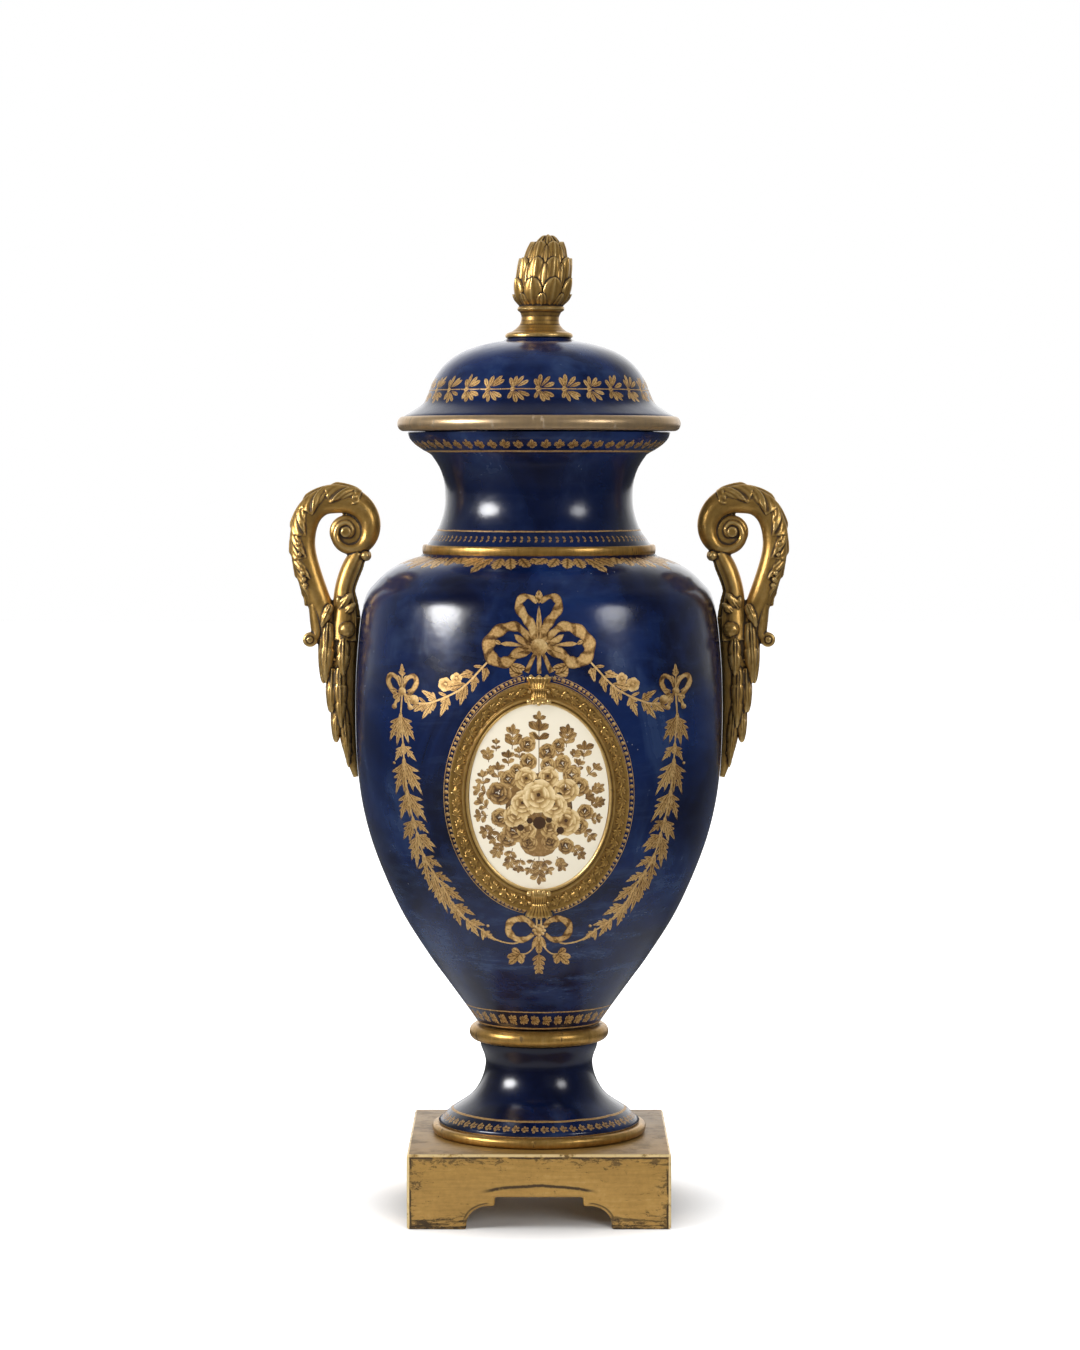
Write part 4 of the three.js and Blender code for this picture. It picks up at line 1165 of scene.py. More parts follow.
def bead_oval(picture):
    """Paints the oval of beads round the frame."""
    count = 132
    for index in range(count):
        way = math.tau * (index + 0.5) / count
        spot = (44.6 * math.sin(way), PLAQUE_CENTRE + 57.4 * math.cos(way))
        if abs(spot[0]) > 7.0:
            picture.disc(spot, 1.05 if index % 2 else 0.75, sides=8, tone=0.25)
    for reach in (43.4, 45.8):
        for low, high in ((0.16, math.pi - 0.16), (math.pi + 0.16, math.tau - 0.16)):
            arc = [(reach * math.sin(way), PLAQUE_CENTRE + (reach + 12.8) * math.cos(way))
                   for way in np.linspace(low, high, 90)]
            picture.ribbon(arc, 0.3, kind=LINE, tone=0.1)


def band_of_sprigs(seed, outline, height, count, reach, length, half, fan, tone=None):
    """Paints a band of leaf sprigs round a turned piece."""
    picture = Painting(seed)
    level = float(outline.along(height))
    for index in range(count):
        x = math.tau * reach * ((index + 0.5) / count - 0.5)
        for angle, size, out in fan:
            ahead = towards(math.radians(angle + picture.chance.uniform(-6, 6)))
            foot = np.array((x, level)) + ahead * out
            size = length * size * picture.chance.uniform(0.88, 1.1)
            picture.leaf(foot, foot + ahead * size, half * picture.chance.uniform(0.85, 1.1), full=0.62, tone=tone)
    return picture


def shoulder_leaves(outline, reach):
    """Paints the large leaves that hang from the neck ring over the shoulder."""
    picture = Painting(31)
    top = float(outline.along(327.0))
    count = 10
    for index in range(count):
        middle = math.tau * reach * ((index + 0.5) / count - 0.5)
        way = 1 if middle > 0 else -1
        width = math.tau * reach / count
        for share, angle, size in ((-0.4, -128, 0.6), (-0.26, -118, 0.78), (0.34, -48, 0.66), (-0.12, -106, 0.86),
                                   (0.24, -58, 0.86), (0.0, -95, 0.8), (0.12, -72, 1.0)):
            ahead = towards(math.radians(angle)) * (way, 1)
            foot = np.array((middle + share * way * width, top + 0.6))
            length = 17.5 * size * picture.chance.uniform(0.92, 1.06)
            picture.leaf(foot, foot + ahead * length, 4.4, teeth=4, full=0.5, cut=0.32)
    return picture


def body_paintings(outline, reach):
    """Returns what is painted on the body."""
    front = Painting(3, front=True)
    bead_oval(front)
    for flip in (1, -1):
        swag(front, flip)
        small_bow(front, flip)
        upper_garland(front, flip)
    bow(front)
    low_bow(front)
    sprig = ((100, 1.0, 0.1), (62, 1.0, 0.1), (28, 0.9, 0.2), (-100, 1.0, 0.1), (-62, 1.0, 0.1), (-28, 0.9, 0.2))
    low = ((52, 0.62, 0), (20, 1.2, 0), (-20, 1.2, 0), (-52, 0.62, 0), (132, 0.5, 0), (-132, 0.5, 0), (0, 1.35, 0))
    crown = ((165, 0.8, 0), (135, 0.9, 0), (90, 1.0, 0), (45, 0.9, 0), (15, 0.8, 0), (-60, 0.5, 0), (-120, 0.5, 0))
    return [front, shoulder_leaves(outline, reach),
            band_of_sprigs(41, outline, 98.2, 38, reach, 6.2, 1.3, low, 0.2),
            band_of_sprigs(42, outline, 336.2, 96, reach, 1.8, 0.45, sprig, 0.0),
            band_of_sprigs(43, outline, 381.6, 58, reach, 4.6, 1.15, crown, 0.1)]


def lid_paintings(outline, reach):
    """Returns what is painted on the lid."""
    sprig = ((112, 0.8, 0.2), (80, 1.0, 0.5), (50, 1.1, 1.2), (26, 0.95, 2.2), (150, 0.45, -1.5),
             (-108, 0.75, 0.2), (-76, 0.95, 0.5), (-48, 1.05, 1.2), (-24, 0.9, 2.2), (-148, 0.45, -1.5))
    return [band_of_sprigs(51, outline, 409.2, 27, reach, 7.4, 1.15, sprig)]


def foot_paintings(outline, reach):
    """Returns what is painted on the foot."""
    sprig = ((90, 1.0, 0), (30, 0.9, 0.2), (-90, 1.0, 0), (-30, 0.9, 0.2), (150, 0.6, 0.1), (-150, 0.6, 0.1))
    return [band_of_sprigs(61, outline, 46.1, 62, reach, 2.3, 0.62, sprig, 0.2)]


def rose(picture, x, z, size, tone):
    """Paints an open rose: rings of petals round a dark heart."""
    x, z = np.array((x, z + PLAQUE_CENTRE))
    for count, reach, half in ((6, 1.12, 0.52), (5, 0.8, 0.42), (4, 0.5, 0.28)):
        start = picture.chance.random() * math.tau
        x, z = (x, z) + np.array((picture.chance.uniform(-0.09, 0.05), picture.chance.uniform(0.0, 0.12))) * size
        for index in range(count):
            way = start + math.tau * index / count
            ahead = towards(way)
            now = size * reach * picture.chance.uniform(0.9, 1.06)
            shade = min(1, max(0, tone + picture.chance.uniform(-0.14, 0.1) - 0.12 * math.cos(way + 2.3)))
            picture.leaf((x, z) + ahead * now * 0.1, (x, z) + ahead * now, size * half, full=0.72, kind=PETAL,
                         tone=shade)
    if tone > 0.7:
        picture.disc((x, z), size * 0.13, sides=8, tone=tone * 0.3)


def twig(picture, foot, tip, pairs, size):
    """Paints a stem with pairs of plump leaves and one at its tip."""
    foot, tip = (np.array((x, z + PLAQUE_CENTRE), float) for x, z in (foot, tip))
    ahead = tip - foot
    picture.ribbon([foot, tip], 0.4, kind=LINE, tone=0.1)
    heading = math.atan2(ahead[1], ahead[0])
    for index in range(pairs):
        spot = foot + ahead * (0.22 + 0.6 * index / max(1, pairs - 1))
        for way in (1, -1):
            turn = heading + way * math.radians(52 + picture.chance.uniform(-12, 12))
            length = size * picture.chance.uniform(0.95, 1.3)
            end = spot + length * towards(turn)
            picture.leaf(spot, end, length * 0.3, bend=-way * 0.3, full=0.62)
            picture.leaf(spot, spot + (end - spot) * 0.72 + (0.1 * size * way, 0.22 * size), length * 0.17)
    picture.leaf(tip - ahead * 0.08, tip + ahead / np.linalg.norm(ahead) * size * 0.9, size * 0.27, full=0.55)


# The painted bouquet, in millimetres from the plaque's middle: stems as foot, tip, pairs of leaves and leaf length,
# flowers as place, radius and paleness, the last three over the dark hollows, which are place and radius.
TWIGS = (
    ((0, 10), (0, 38.4), 0, 3.4), ((0, 31), (0, 38.2), 2, 3.9), ((0, 26), (0, 33), 2, 5.4),
    ((-12.8, 23), (-12.4, 31.5), 3, 4.4), ((13.0, 24), (13.6, 31.5), 3, 4.3), ((21.4, 18), (21.6, 23.6), 2, 4.2),
    ((-24, 16.6), (-24.2, 21), 2, 3.6), ((-20.4, 22), (-20.4, 26), 2, 2.7), ((-14.6, 15), (-14.6, 19.6), 2, 3.8),
    ((-19.3, 8), (-19.6, 14), 2, 3.6), ((-26.4, 5), (-27, 10.2), 2, 3.4), ((-24.6, 2), (-29, 3.6), 2, 3.4),
    ((-24.5, -6), (-27.6, -2.6), 2, 3.4), ((-24.4, -9), (-28.6, -9.4), 2, 3.2), ((-21, -15.6), (-26, -17), 2, 3.4),
    ((-17, -22), (-20.6, -27.6), 3, 3.4), ((-12.6, -25), (-14.6, -33), 3, 3.3), ((-8.8, -30), (-9.6, -34.6), 2, 3.2),
    ((8.6, -29), (11.4, -34), 3, 3.2), ((16, -23), (20.2, -28.4), 3, 3.4), ((21.4, -16), (25, -19.4), 2, 3.4),
    ((24.4, -10.6), (28, -10.4), 2, 3.0), ((24, -4.4), (29.4, -2.4), 3, 3.0), ((24.4, 2), (29, 4.6), 3, 3.0),
    ((22.8, 10), (27, 14), 2, 3.4), ((8.8, 19), (9.4, 22), 2, 3.0), ((-9, 18), (-9.6, 22), 2, 3.0),
    ((18, 12), (19, 16), 2, 3.0), ((0, -29), (0, -39.6), 4, 4.2), ((2, -30), (5, -36), 2, 3.0),
    ((-2, -30), (-5, -36), 2, 3.0), ((-21, 12), (-23, 12.6), 2, 2.6), ((22, -1), (24, 0), 2, 3.2),
    ((-18, -17), (-22, -21), 2, 3.2), ((16, 19), (17.4, 21), 2, 2.8),
)
ROSES = (
    (-5.4, 25.1, 3.9, 0.22), (-4.6, 16.9, 4.0, 0.28), (4.0, 21.9, 4.0, 0.25), (9.3, 25.1, 2.8, 0.2),
    (4.3, 14.8, 3.8, 0.34), (11.2, 16.2, 4.0, 0.36), (-14.2, 8.4, 4.2, 0.28), (-10.6, 12.6, 3.4, 0.25),
    (15.7, 10.5, 4.2, 0.34), (19.6, 4.8, 4.4, 0.3), (-18.6, -10.2, 4.4, 0.25), (13.2, -24.0, 3.8, 0.2),
    (-14.4, -20.4, 4.2, 0.2), (22.0, -7.4, 3.6, 0.28), (19.0, -14.6, 4.2, 0.3), (-18.9, 1.2, 5.4, 0.18),
    (-11.4, -16.8, 5.2, 0.32), (-5.6, 8.4, 5.4, 0.8), (4.6, 8.8, 5.0, 0.76), (13.4, 2.8, 5.6, 0.74),
    (-11.2, -9.6, 5.2, 0.82), (12.6, -12.6, 6.8, 0.74), (-5.4, -16.2, 4.4, 0.6), (5.2, -15.4, 4.4, 0.5),
    (5.8, -22.0, 4.2, 0.28), (-5.0, -22.4, 4.0, 0.24), (-7.4, -3.8, 6.0, 0.92), (7.2, -4.0, 6.0, 0.92),
    (0.0, -0.6, 7.6, 1.0),
)
HOLLOWS = ((-0.4, 6.6, 2.6), (0.2, -12.4, 3.2), (-8.8, -14.8, 1.7), (10.2, -16.2, 1.9), (9.6, 1.0, 1.5),
           (-12.6, -4.6, 1.7), (-4.4, -11.4, 1.5), (4.8, -11.0, 1.5))
BASKET = [(-9.4, -20.5), (-8.8, -24), (-6.4, -27.4), (-2.6, -29), (2.6, -29), (6.4, -27.4), (8.8, -24), (9.4, -20.5)]


def bouquet(picture):
    """Paints a bouquet of roses and sprigs in a round basket."""
    for foot, tip, pairs, size in TWIGS:
        twig(picture, foot, tip, pairs, size)
    picture.add([(x, z + PLAQUE_CENTRE) for x, z in BASKET], (0, PLAQUE_CENTRE - 29), (0, PLAQUE_CENTRE - 20), 9.4,
                RIBBON, tone=0.3)
    picture.disc((0, PLAQUE_CENTRE - 5), 16, kind=LINE, sides=24, tall=1.05, tone=0.12)
    for x, z, size, tone in ROSES[:-3]:
        rose(picture, x, z, size, tone)
    for x, z, radius in HOLLOWS:
        picture.disc((x, z + PLAQUE_CENTRE), radius, sides=9, tone=0.0)
    for x, z, size, tone in ROSES[-3:]:
        rose(picture, x, z, size, tone)


def frame_relief(run, wide, pitch):
    """Returns the height of the running leaves on the frame, for places along and across it."""
    phase = run / pitch * math.tau
    stem = 5.9 + 0.8 * np.sin(phase)
    rise = 0.7 * np.exp(-((wide - stem) / 0.4) ** 2)
    for offset, side in ((0.12, 1), (0.62, -1)):
        local = ((run / pitch - offset + 0.5) % 1 - 0.5) * pitch
        root = 5.9 + 0.7 * math.sin((offset + 0.06) * math.tau) - 0.3 * side
        for angle, length, half in ((70, 2.5, 0.55), (38, 3.1, 0.6), (6, 3.2, 0.6), (-26, 2.8, 0.55),
                                    (108, 2.2, 0.5), (-62, 2.2, 0.5)):
            turn = math.radians(angle)
            ahead, out = math.cos(turn), -side * math.sin(turn)
            along = (local * ahead + (wide - root) * out) / length
            across = (local * -out + (wide - root) * ahead) / half
            inside = np.clip(1 - (2 * along - 1) ** 2 - across ** 2, 0, None)
            rise = np.maximum(rise, 1.05 * np.sqrt(inside))
    keep = np.clip((wide - 3.2) / 0.4, 0, 1) * np.clip((8.6 - wide) / 0.4, 0, 1)
    lip = 0.5 * np.abs(np.sin(math.pi * run / (pitch / 6))) ** 0.6 * np.exp(-((wide - 9.35) / 0.6) ** 2)
    return (rise - 0.25) * keep + lip


def clasp(way):
    """Makes the fluted clasp at the top or foot of the frame."""
    edge = PLAQUE_CENTRE + way * (PLAQUE_HALF_HEIGHT + 10.3)
    rows, columns = 27, 33
    top, under = np.zeros((rows, columns, 3)), np.zeros((rows, columns, 3))
    for row in range(rows):
        share = row / (rows - 1)
        half = float(np.interp(share, (0, 0.2, 0.42, 0.55, 0.8, 1), (4.4, 3.8, 3.4, 3.7, 5.2, 6.4)))
        crest = float(np.interp(share, (0, 0.12, 0.3, 0.42, 0.5, 0.75, 0.93, 1),
                                (4.2, 5.3, 4.4, 4.4, 5.5, 4.8, 5.4, 4.4)))
        for column in range(columns):
            u = 2 * column / (columns - 1) - 1
            flute = math.cos(3.5 * math.pi * u)
            z = edge + way * (-11 + 12.6 * share + (0.7 * flute if share == 1 else 0))
            lift = crest * (1 - 0.3 * u ** 4) + 0.6 * (abs(flute) ** 0.7 - 0.5) * min(1, 3 * share)
            top[row, column], under[row, column] = on_belly(half * u, z, lift), on_belly(half * u, z, 0.6)
    pieces = [slab("clasp", top, under)]
    for x, up, radius in ((-4.5, -10.3, 1.35), (4.5, -10.3, 1.35), (-2.2, -11, 1.0), (2.2, -11, 1.0),
                          (0, -11.3, 1.2), (-4.3, -5.8, 0.9), (4.3, -5.8, 0.9)):
        pieces.append(bead(on_belly(x, edge + way * up, 3.8), radius))
    return pieces


def medallion_frame(material):
    """Makes the oval frame with its leaf band, fillets and clasps."""
    inner = [(-0.4, -0.6), (-0.4, 2.4), (-0.15, 2.95), (0.3, 3.2), (0.75, 2.95), (1.05, 2.4), (1.35, 2.5),
             (1.75, 3.05), (2.2, 3.3), (2.65, 3.05), (2.95, 2.5), (3.15, 2.2)]
    middle = [(wide, float(np.interp(wide, (3.2, 5, 7.4, 8.6, 9.3, 10.0), (2.2, 2.7, 3.7, 4.3, 4.3, 3.4))))
              for wide in np.linspace(3.3, 10.0, 30)]
    section = inner + middle + [(10.25, 2.4), (10.2, 0.4), (6, 0.4), (0.4, 0.4)]
    turns = np.linspace(0, math.tau, 4001)
    path = np.stack([(PLAQUE_HALF_WIDTH + 4.6) * np.sin(turns), (PLAQUE_HALF_HEIGHT + 5) * np.cos(turns)], axis=1)
    runs = np.concatenate([[0], np.cumsum(np.linalg.norm(np.diff(path, axis=0), axis=1))])
    pitch = runs[-1] / FRAME_LEAVES
    points = []
    wides = np.array([wide for wide, _ in section])
    for side in range(FRAME_SIDES):
        run = runs[-1] * side / FRAME_SIDES
        turn = float(np.interp(run, runs, turns))
        rises = frame_relief(np.full(len(wides), run), wides, pitch)
        for (wide, lift), rise in zip(section, rises):
            points.append(on_belly((PLAQUE_HALF_WIDTH + 0.83 * wide) * math.sin(turn),
                                   PLAQUE_CENTRE + (PLAQUE_HALF_HEIGHT - 0.9 + wide) * math.cos(turn),
                                   lift + (rise if lift > 1 else 0)))
    oval = outward(mesh_piece("medallion_frame", points, strip(points, FRAME_SIDES, closed=True)))
    piece = join([oval] + clasp(1) + clasp(-1), "medallion_frame")
    hollows(piece, 8)
    choose(piece)
    bpy.ops.object.shade_smooth_by_angle(angle=math.radians(50))
    clear()
    place(piece, "medallion_frame", "gilt_bronze", material)


def lean(piece, reach):
    """Leans the cone to the right, by reach metres at its tip."""
    for vertex in piece.data.vertices:
        share = max(0.0, (vertex.co.z / MM - FINIAL_FOOT) / (FINIAL_TIP - FINIAL_FOOT))
        vertex.co.x += reach * share ** 1.2


CONE = spline([(9.6, 451.6), (12.0, 454.6), (12.9, 459.4), (12.4, 465.6), (10.9, 472.2), (8.4, 478.4), (5.6, 482.8),
               (2.8, 485.8), (0.2, 486.9)], 4)


def cone_scale(way, foot, length, half, thick, spread, blunt):
    """Makes one scale of the cone: a ribbed leaf with a rolled edge that lies on the cone and lifts at its tip."""
    share, v = np.meshgrid(np.linspace(0, 1, 22), np.linspace(-1, 1, 19), indexing="ij")
    rise = foot + length * share
    radius = np.interp(rise, [z for _, z in CONE], [r for r, _ in CONE])
    wide = half * (1 - np.clip((share - blunt) / (1 - blunt), 0, 0.995) ** 2) ** 0.55
    wide = wide * (0.8 + 0.2 * np.clip(4 * share, 0, 1))
    lift = (thick * (0.1 + 0.9 * np.sqrt(1 - 0.96 * np.abs(v) ** 2)) + 0.3 * np.exp(-(v / 0.16) ** 2)
            - 0.14 * np.exp(-((np.abs(v) - 0.36) / 0.16) ** 2) + spread * (share - 0.35))
    turn = way + v * wide / np.maximum(radius, 3.5)
    reaches = [np.clip(radius + depth, 0.2, None) for depth in (lift, np.minimum(lift - 1.3, spread * share - 1.6))]
    top, under = (np.stack([reach * np.sin(turn), -reach * np.cos(turn), rise], axis=2) for reach in reaches)
    return slab("scale", top, under)


# Rows of scales: how many, foot, length, half width, thickness, lift of the tips, bluntness and turn.
CONE_ROWS = (
    (8, 451.2, 13.8, 4.7, 1.5, 1.9, 0.5, 0.5), (8, 451.2, 6.0, 2.8, 1.5, 0.8, 0.3, 0.0),
    (9, 460.6, 11.4, 3.0, 1.3, 1.5, 0.4, 0.0), (9, 462.6, 12.6, 3.7, 1.6, 2.7, 0.5, 0.5),
    (7, 471.4, 9.4, 2.7, 1.2, 1.2, 0.4, 0.0), (7, 473.4, 9.8, 3.3, 1.4, 2.2, 0.5, 0.5),
    (5, 481.0, 5.4, 2.0, 0.6, 0.2, 0.3, 0.2),
)


def finial(material, sizes):
    """Makes the pine cone and its turned socket."""
    socket = [(0, 435.6), (16.4, 435.6), (16.8, 436), (16.8, 437), (16, 437.8), (13.4, 438.8), (11.6, 440.2),
              (10, 442), (9.4, 444), (9.4, 446.2), (10.2, 448.2), (11.4, 449), (11.8, 449.8), (11.4, 450.8),
              (10.2, 451.4)]
    parts = [turned("finial", socket + [(r - 0.6 if r > 1 else r, z) for r, z in CONE] + [(0, 487)], 64)]
    for count, *measures, turn in CONE_ROWS:
        parts += [cone_scale(math.tau * (index + turn) / count, *measures) for index in range(count)]
    piece = join(parts, "finial")
    lean(piece, sizes.finial_lean)
    piece = cast([piece], "finial", sizes.finial_grain)
    place(piece, "finial", "gilt_bronze", material)


def plaque(material, sizes):
    """Makes the domed oval plaque with its painted bouquet."""
    picture = Painting(7, front=True)
    bouquet(picture)
    spots = [(0.0, PLAQUE_CENTRE)]
    for ring in range(1, PLAQUE_RINGS + 1):
        share = ring / PLAQUE_RINGS
        for index in range(PLAQUE_SIDES):
            turn = math.tau * index / PLAQUE_SIDES
            spots.append((PLAQUE_HALF_WIDTH * share * math.sin(turn),
                          PLAQUE_CENTRE + PLAQUE_HALF_HEIGHT * share * math.cos(turn)))
    flat, used, owners = inlay(spots, [shape["outline"] for shape in picture.shapes])
    radius = BELLY_OUTLINE.at(BELLY_OUTLINE.along(flat[:, 1]))[0] + sizes.plaque_lift / MM
    front = -np.sqrt(radius ** 2 - flat[:, 0] ** 2)
    points = [tuple(point) for point in np.stack([flat[:, 0], front, flat[:, 1]], 1)]
    values = paint(picture.shapes, owners, flat[used], flat[used])
    all_faces = [tuple(face) for face in used]
    oval = (flat[:, 0] / PLAQUE_HALF_WIDTH) ** 2 + ((flat[:, 1] - PLAQUE_CENTRE) / PLAQUE_HALF_HEIGHT) ** 2
    rim = sorted(np.nonzero(oval > 1 - 1e-4)[0],
                 key=lambda index: math.atan2(flat[index, 0], flat[index, 1] - PLAQUE_CENTRE))
    back = list(range(len(points), len(points) + len(rim)))
    points += [(points[index][0], points[index][1] + PLAQUE_DEPTH, points[index][2]) for index in rim]
    points.append((0, points[0][1] + PLAQUE_DEPTH, PLAQUE_CENTRE))
    for index in range(len(rim)):
        after = (index + 1) % len(rim)
        all_faces.append((rim[index], rim[after], back[after], back[index]))
        all_faces.append((back[index], back[after], len(points) - 1))
    piece = mesh_piece("medallion_plaque", points, all_faces)
    keep_paint(piece, values)
    choose(piece)
    bpy.ops.object.shade_smooth_by_angle(angle=SMOOTH)
    place(piece, "medallion_plaque", "white_porcelain", material)


def rings(material, dull):
    """Makes the plain turned rings and the collar; the lid's rim is duller than the others."""
    pieces = {
        "foot_ring": closed_ring(37.35, 42.2, 53.8, 49.9, 1.9),
        "collar": [(0, 84.5)] + closed_ring(84.2, 92, 35, 29.4, 3.6, 16)[1:-2] + [(0, 91.7)],
        "neck_ring": closed_ring(327.9, 332.6, 58.3, 55.6, 0.7, 6),
        "lid_rim": closed_ring(389.2, 396.4, 70.7, 67.4, 3.0, 16),
    }
    for name, section in pieces.items():
        place(turned(name, section, 192), name, "gilt_bronze", dull if name == "lid_rim" else material)


def vessels(material):
    """Makes the body, lid and foot, with what is painted on them."""
    body_outline = spline(BELLY, 10) + spline(NECK, 5) + spline(LIP, 5)
    mouth = [(65.2, 388.6), (57.8, 388.6), (56.6, 383)] + [
        (r - WALL, z) for r, z in reversed(spline(BELLY, 2) + spline(NECK, 3))
        if z > INNER_FLOOR + 3 and r - WALL > 36
    ] + [(30, INNER_FLOOR), (0, INNER_FLOOR)]
    painted = body_paintings(Outline(body_outline), BODY_REACH)
    body = porcelain("body", body_outline, BODY_REACH, painted, mouth, [(0, 92.9)], 180, 2.4)
    place(body, "body", "cobalt_porcelain", material)

    lid_outline = [(67.2, 390.2), (67.2, 396.6)] + spline(DOME[::-1], 6) + [(16.4, 435.4), (14, 435.9)]
    under = [(67, 389.2), (57.4, 389.2), (55.4, 388.4), (55.4, 384), (50.4, 384), (50.4, 396), (52, 402),
             (48.2, 411), (41, 420), (28, 427), (0, 429)]
    painted = lid_paintings(Outline(lid_outline), LID_REACH)
    lid = porcelain("lid", lid_outline, LID_REACH, painted, [(0, 435.9)], under, 180, 1.6)
    place(lid, "lid", "cobalt_porcelain", material)

    edge = [(49.5, 37.4), (49.5, 42), (50.6, 43.4), (48.9, 44.9), (46.6, 46.8), (44.6, 48.7)]
    foot_outline = edge + spline(FLARE[::-1], 8) + [(29.6, 83.4)]
    under = [(45, 37.4), (43.2, 43.6), (30, 51.8), (24, 61), (22, 73), (22, 79), (0, 80)]
    painted = foot_paintings(Outline(foot_outline), FOOT_REACH)
    foot = porcelain("foot", foot_outline, FOOT_REACH, painted, [(0, 83.4)], under, 160, 1.6)
    place(foot, "foot", "cobalt_porcelain", material)


def plinth(material, sizes):
    """Makes the hollow plinth with an arched opening under each side."""
    clear()
    bpy.ops.mesh.primitive_cube_add(size=2 * PLINTH_HALF * MM, location=(0, 0, PLINTH_HEIGHT * MM / 2))
    piece = bpy.context.object
    piece.name = "plinth"
    piece.scale.z = PLINTH_HEIGHT / (2 * PLINTH_HALF)
    bpy.ops.object.transform_apply(location=True, rotation=True, scale=True)
    edit(piece, lambda middle, normal: normal.z < -0.9)
    bpy.ops.mesh.inset(thickness=sizes.plinth_wall)
    bpy.ops.mesh.extrude_region_move(TRANSFORM_OT_translate={"value": (0, 0, PLINTH_HOLLOW * MM)})
    clear()
    quarter = [(35.4 - 10.8 * (1 - math.cos(turn)), 2.6 + 8.8 * math.sin(turn))
               for turn in (math.pi / 2 * index / 12 for index in range(13))]
    half = [(35.4, -3)] + quarter + [(21.6, 11.4), (21.6, 15.8)]
    outline = half + [(-x, z) for x, z in reversed(half)]
    reach = 80
    for turn in (0, math.pi / 2):
        cutter = start_point("cutter", (outline[0][0], -reach, outline[0][1]))
        draw_to([(x, -reach, z) for x, z in outline])
        bpy.ops.mesh.select_all(action="SELECT")
        bpy.ops.mesh.edge_face_add()
        bpy.ops.mesh.extrude_region_move(TRANSFORM_OT_translate={"value": (0, 2 * reach * MM, 0)})
        mend(cutter)
        settle(cutter)
        choose(cutter)
        bpy.ops.transform.rotate(value=turn, orient_axis="Z", center_override=(0, 0, 0))
        bpy.ops.object.transform_apply(location=True, rotation=True, scale=True)
        modify(piece, "BOOLEAN", operation="DIFFERENCE", object=cutter, solver="EXACT")
        bpy.data.objects.remove(cutter)
    modify(piece, "BEVEL", width=sizes.plinth_edge, segments=4, limit_method="ANGLE", angle_limit=math.radians(35))
    settle(piece, math.radians(50))
    place(piece, "plinth", "gilt_bronze", material)


# How bright the room is, from in front of the urn (0) to behind it (1).
ROOM = ((0.0, 0.07), (0.45, 0.07), (0.78, 0.34), (1.0, 1.8))
# Name, place, width, height as a share of it, power and which rays see it.
LIGHTS = (
    ("key", (-1.3, -0.64, 0.72), 0.66, 0.6, 21, "glossy"),
    ("fill", (1.04, -0.92, 0.75), 0.46, 0.8, 4.6, "glossy"),
    ("left", (-1.3, -0.8, 1.0), 0.9, 1.0, 13, "diffuse"),
    ("front", (0.6, -1.8, 0.75), 0.9, 1.0, 17, "diffuse"),
    ("top", (0, -0.2, 2.2), 2.2, 1.0, 36, "diffuse"),
)
LIGHT_AIM = Vector((0, 0, 0.28))
CAMERA_PLACE, CAMERA_TILT = (0.0005, -1.875, 0.3723), math.radians(86.795)
LENS, SENSOR = 100, 36
FLOOR_SIZE = 14


def studio():
    """Surrounds the stage with a room that looks white but throws little into the glaze."""
    world = bpy.data.worlds.new("studio")
    bpy.context.scene.world = world
    world.use_nodes = True
    room = Nodes(world.node_tree)
    place = room.node("ShaderNodeTexCoord", {}, {}, "Generated")
    depth = room.node("ShaderNodeSeparateXYZ", {}, {0: place}, 1)
    thrown = room.shades(depth * 0.5 + 0.5, *((position, (grey,) * 3) for position, grey in ROOM))
    seen = room.node("ShaderNodeLightPath", {}, {}, "Is Camera Ray")
    room.feed(room.tree.nodes["Background"].inputs[0], room.mix(seen, thrown, (1, 1, 1)))


def pale_floor():
    """Makes the pale floor, which fades into the room and mirrors dark."""
    clear()
    bpy.ops.mesh.primitive_plane_add(size=FLOOR_SIZE, location=(0, 0, 0))
    floor = bpy.context.object
    floor.name = "floor"
    f = Finish("pale_floor", Roughness=0.8, Emission_Strength=1.0)
    away = f.node("ShaderNodeVectorMath", {"operation": "LENGTH"}, {0: f.place}, 1)
    seen = f.node("ShaderNodeLightPath", {}, {}, "Is Camera Ray")
    # Painted glow seen only by the camera: it whitens the floor, and fades out close to the urn.
    glow = seen * (f.ramp(away, 0.06, 0.11) * 0.46 + f.ramp(away, 0.13, 0.5) * 0.54)
    f.feed(f.shader.inputs["Emission Color"], f.mix(glow, (0, 0, 0), (1, 1, 1)))
    pale = f.mix(f.noise(30), (0.84, 0.84, 0.84), (0.88, 0.88, 0.88))
    mirrored_share = seen.beside("Is Glossy Ray") * (f.ramp(away, 0.12, 0.4) * 0.6 + 0.35)
    floor.data.materials.append(f.finish(f.mix(mirrored_share, pale, (0.03, 0.03, 0.03))))


def stage():
    """Makes the floor, the room, the soft lights and the camera."""
    pale_floor()
    studio()
    scene = bpy.context.scene
    scene.view_settings.view_transform = "Standard"
    for name, spot, size, flat, power, kind in LIGHTS:
        light = bpy.data.lights.new(name, "AREA")
        light.shape, light.size, light.size_y, light.energy = "ELLIPSE", size, size * flat, power
        lamp = bpy.data.objects.new(name, light)
        lamp.location = spot
        lamp.rotation_euler = (LIGHT_AIM - Vector(spot)).to_track_quat("-Z", "Y").to_euler()
        lamp.visible_glossy, lamp.visible_diffuse = kind == "glossy", kind == "diffuse"
        scene.collection.objects.link(lamp)

    lens = bpy.data.cameras.new("camera")
    lens.lens, lens.sensor_width = LENS, SENSOR
    camera = bpy.data.objects.new("camera", lens)
    camera.location, camera.rotation_euler = CAMERA_PLACE, (CAMERA_TILT, 0, 0)
    scene.collection.objects.link(camera)
    scene.camera = camera


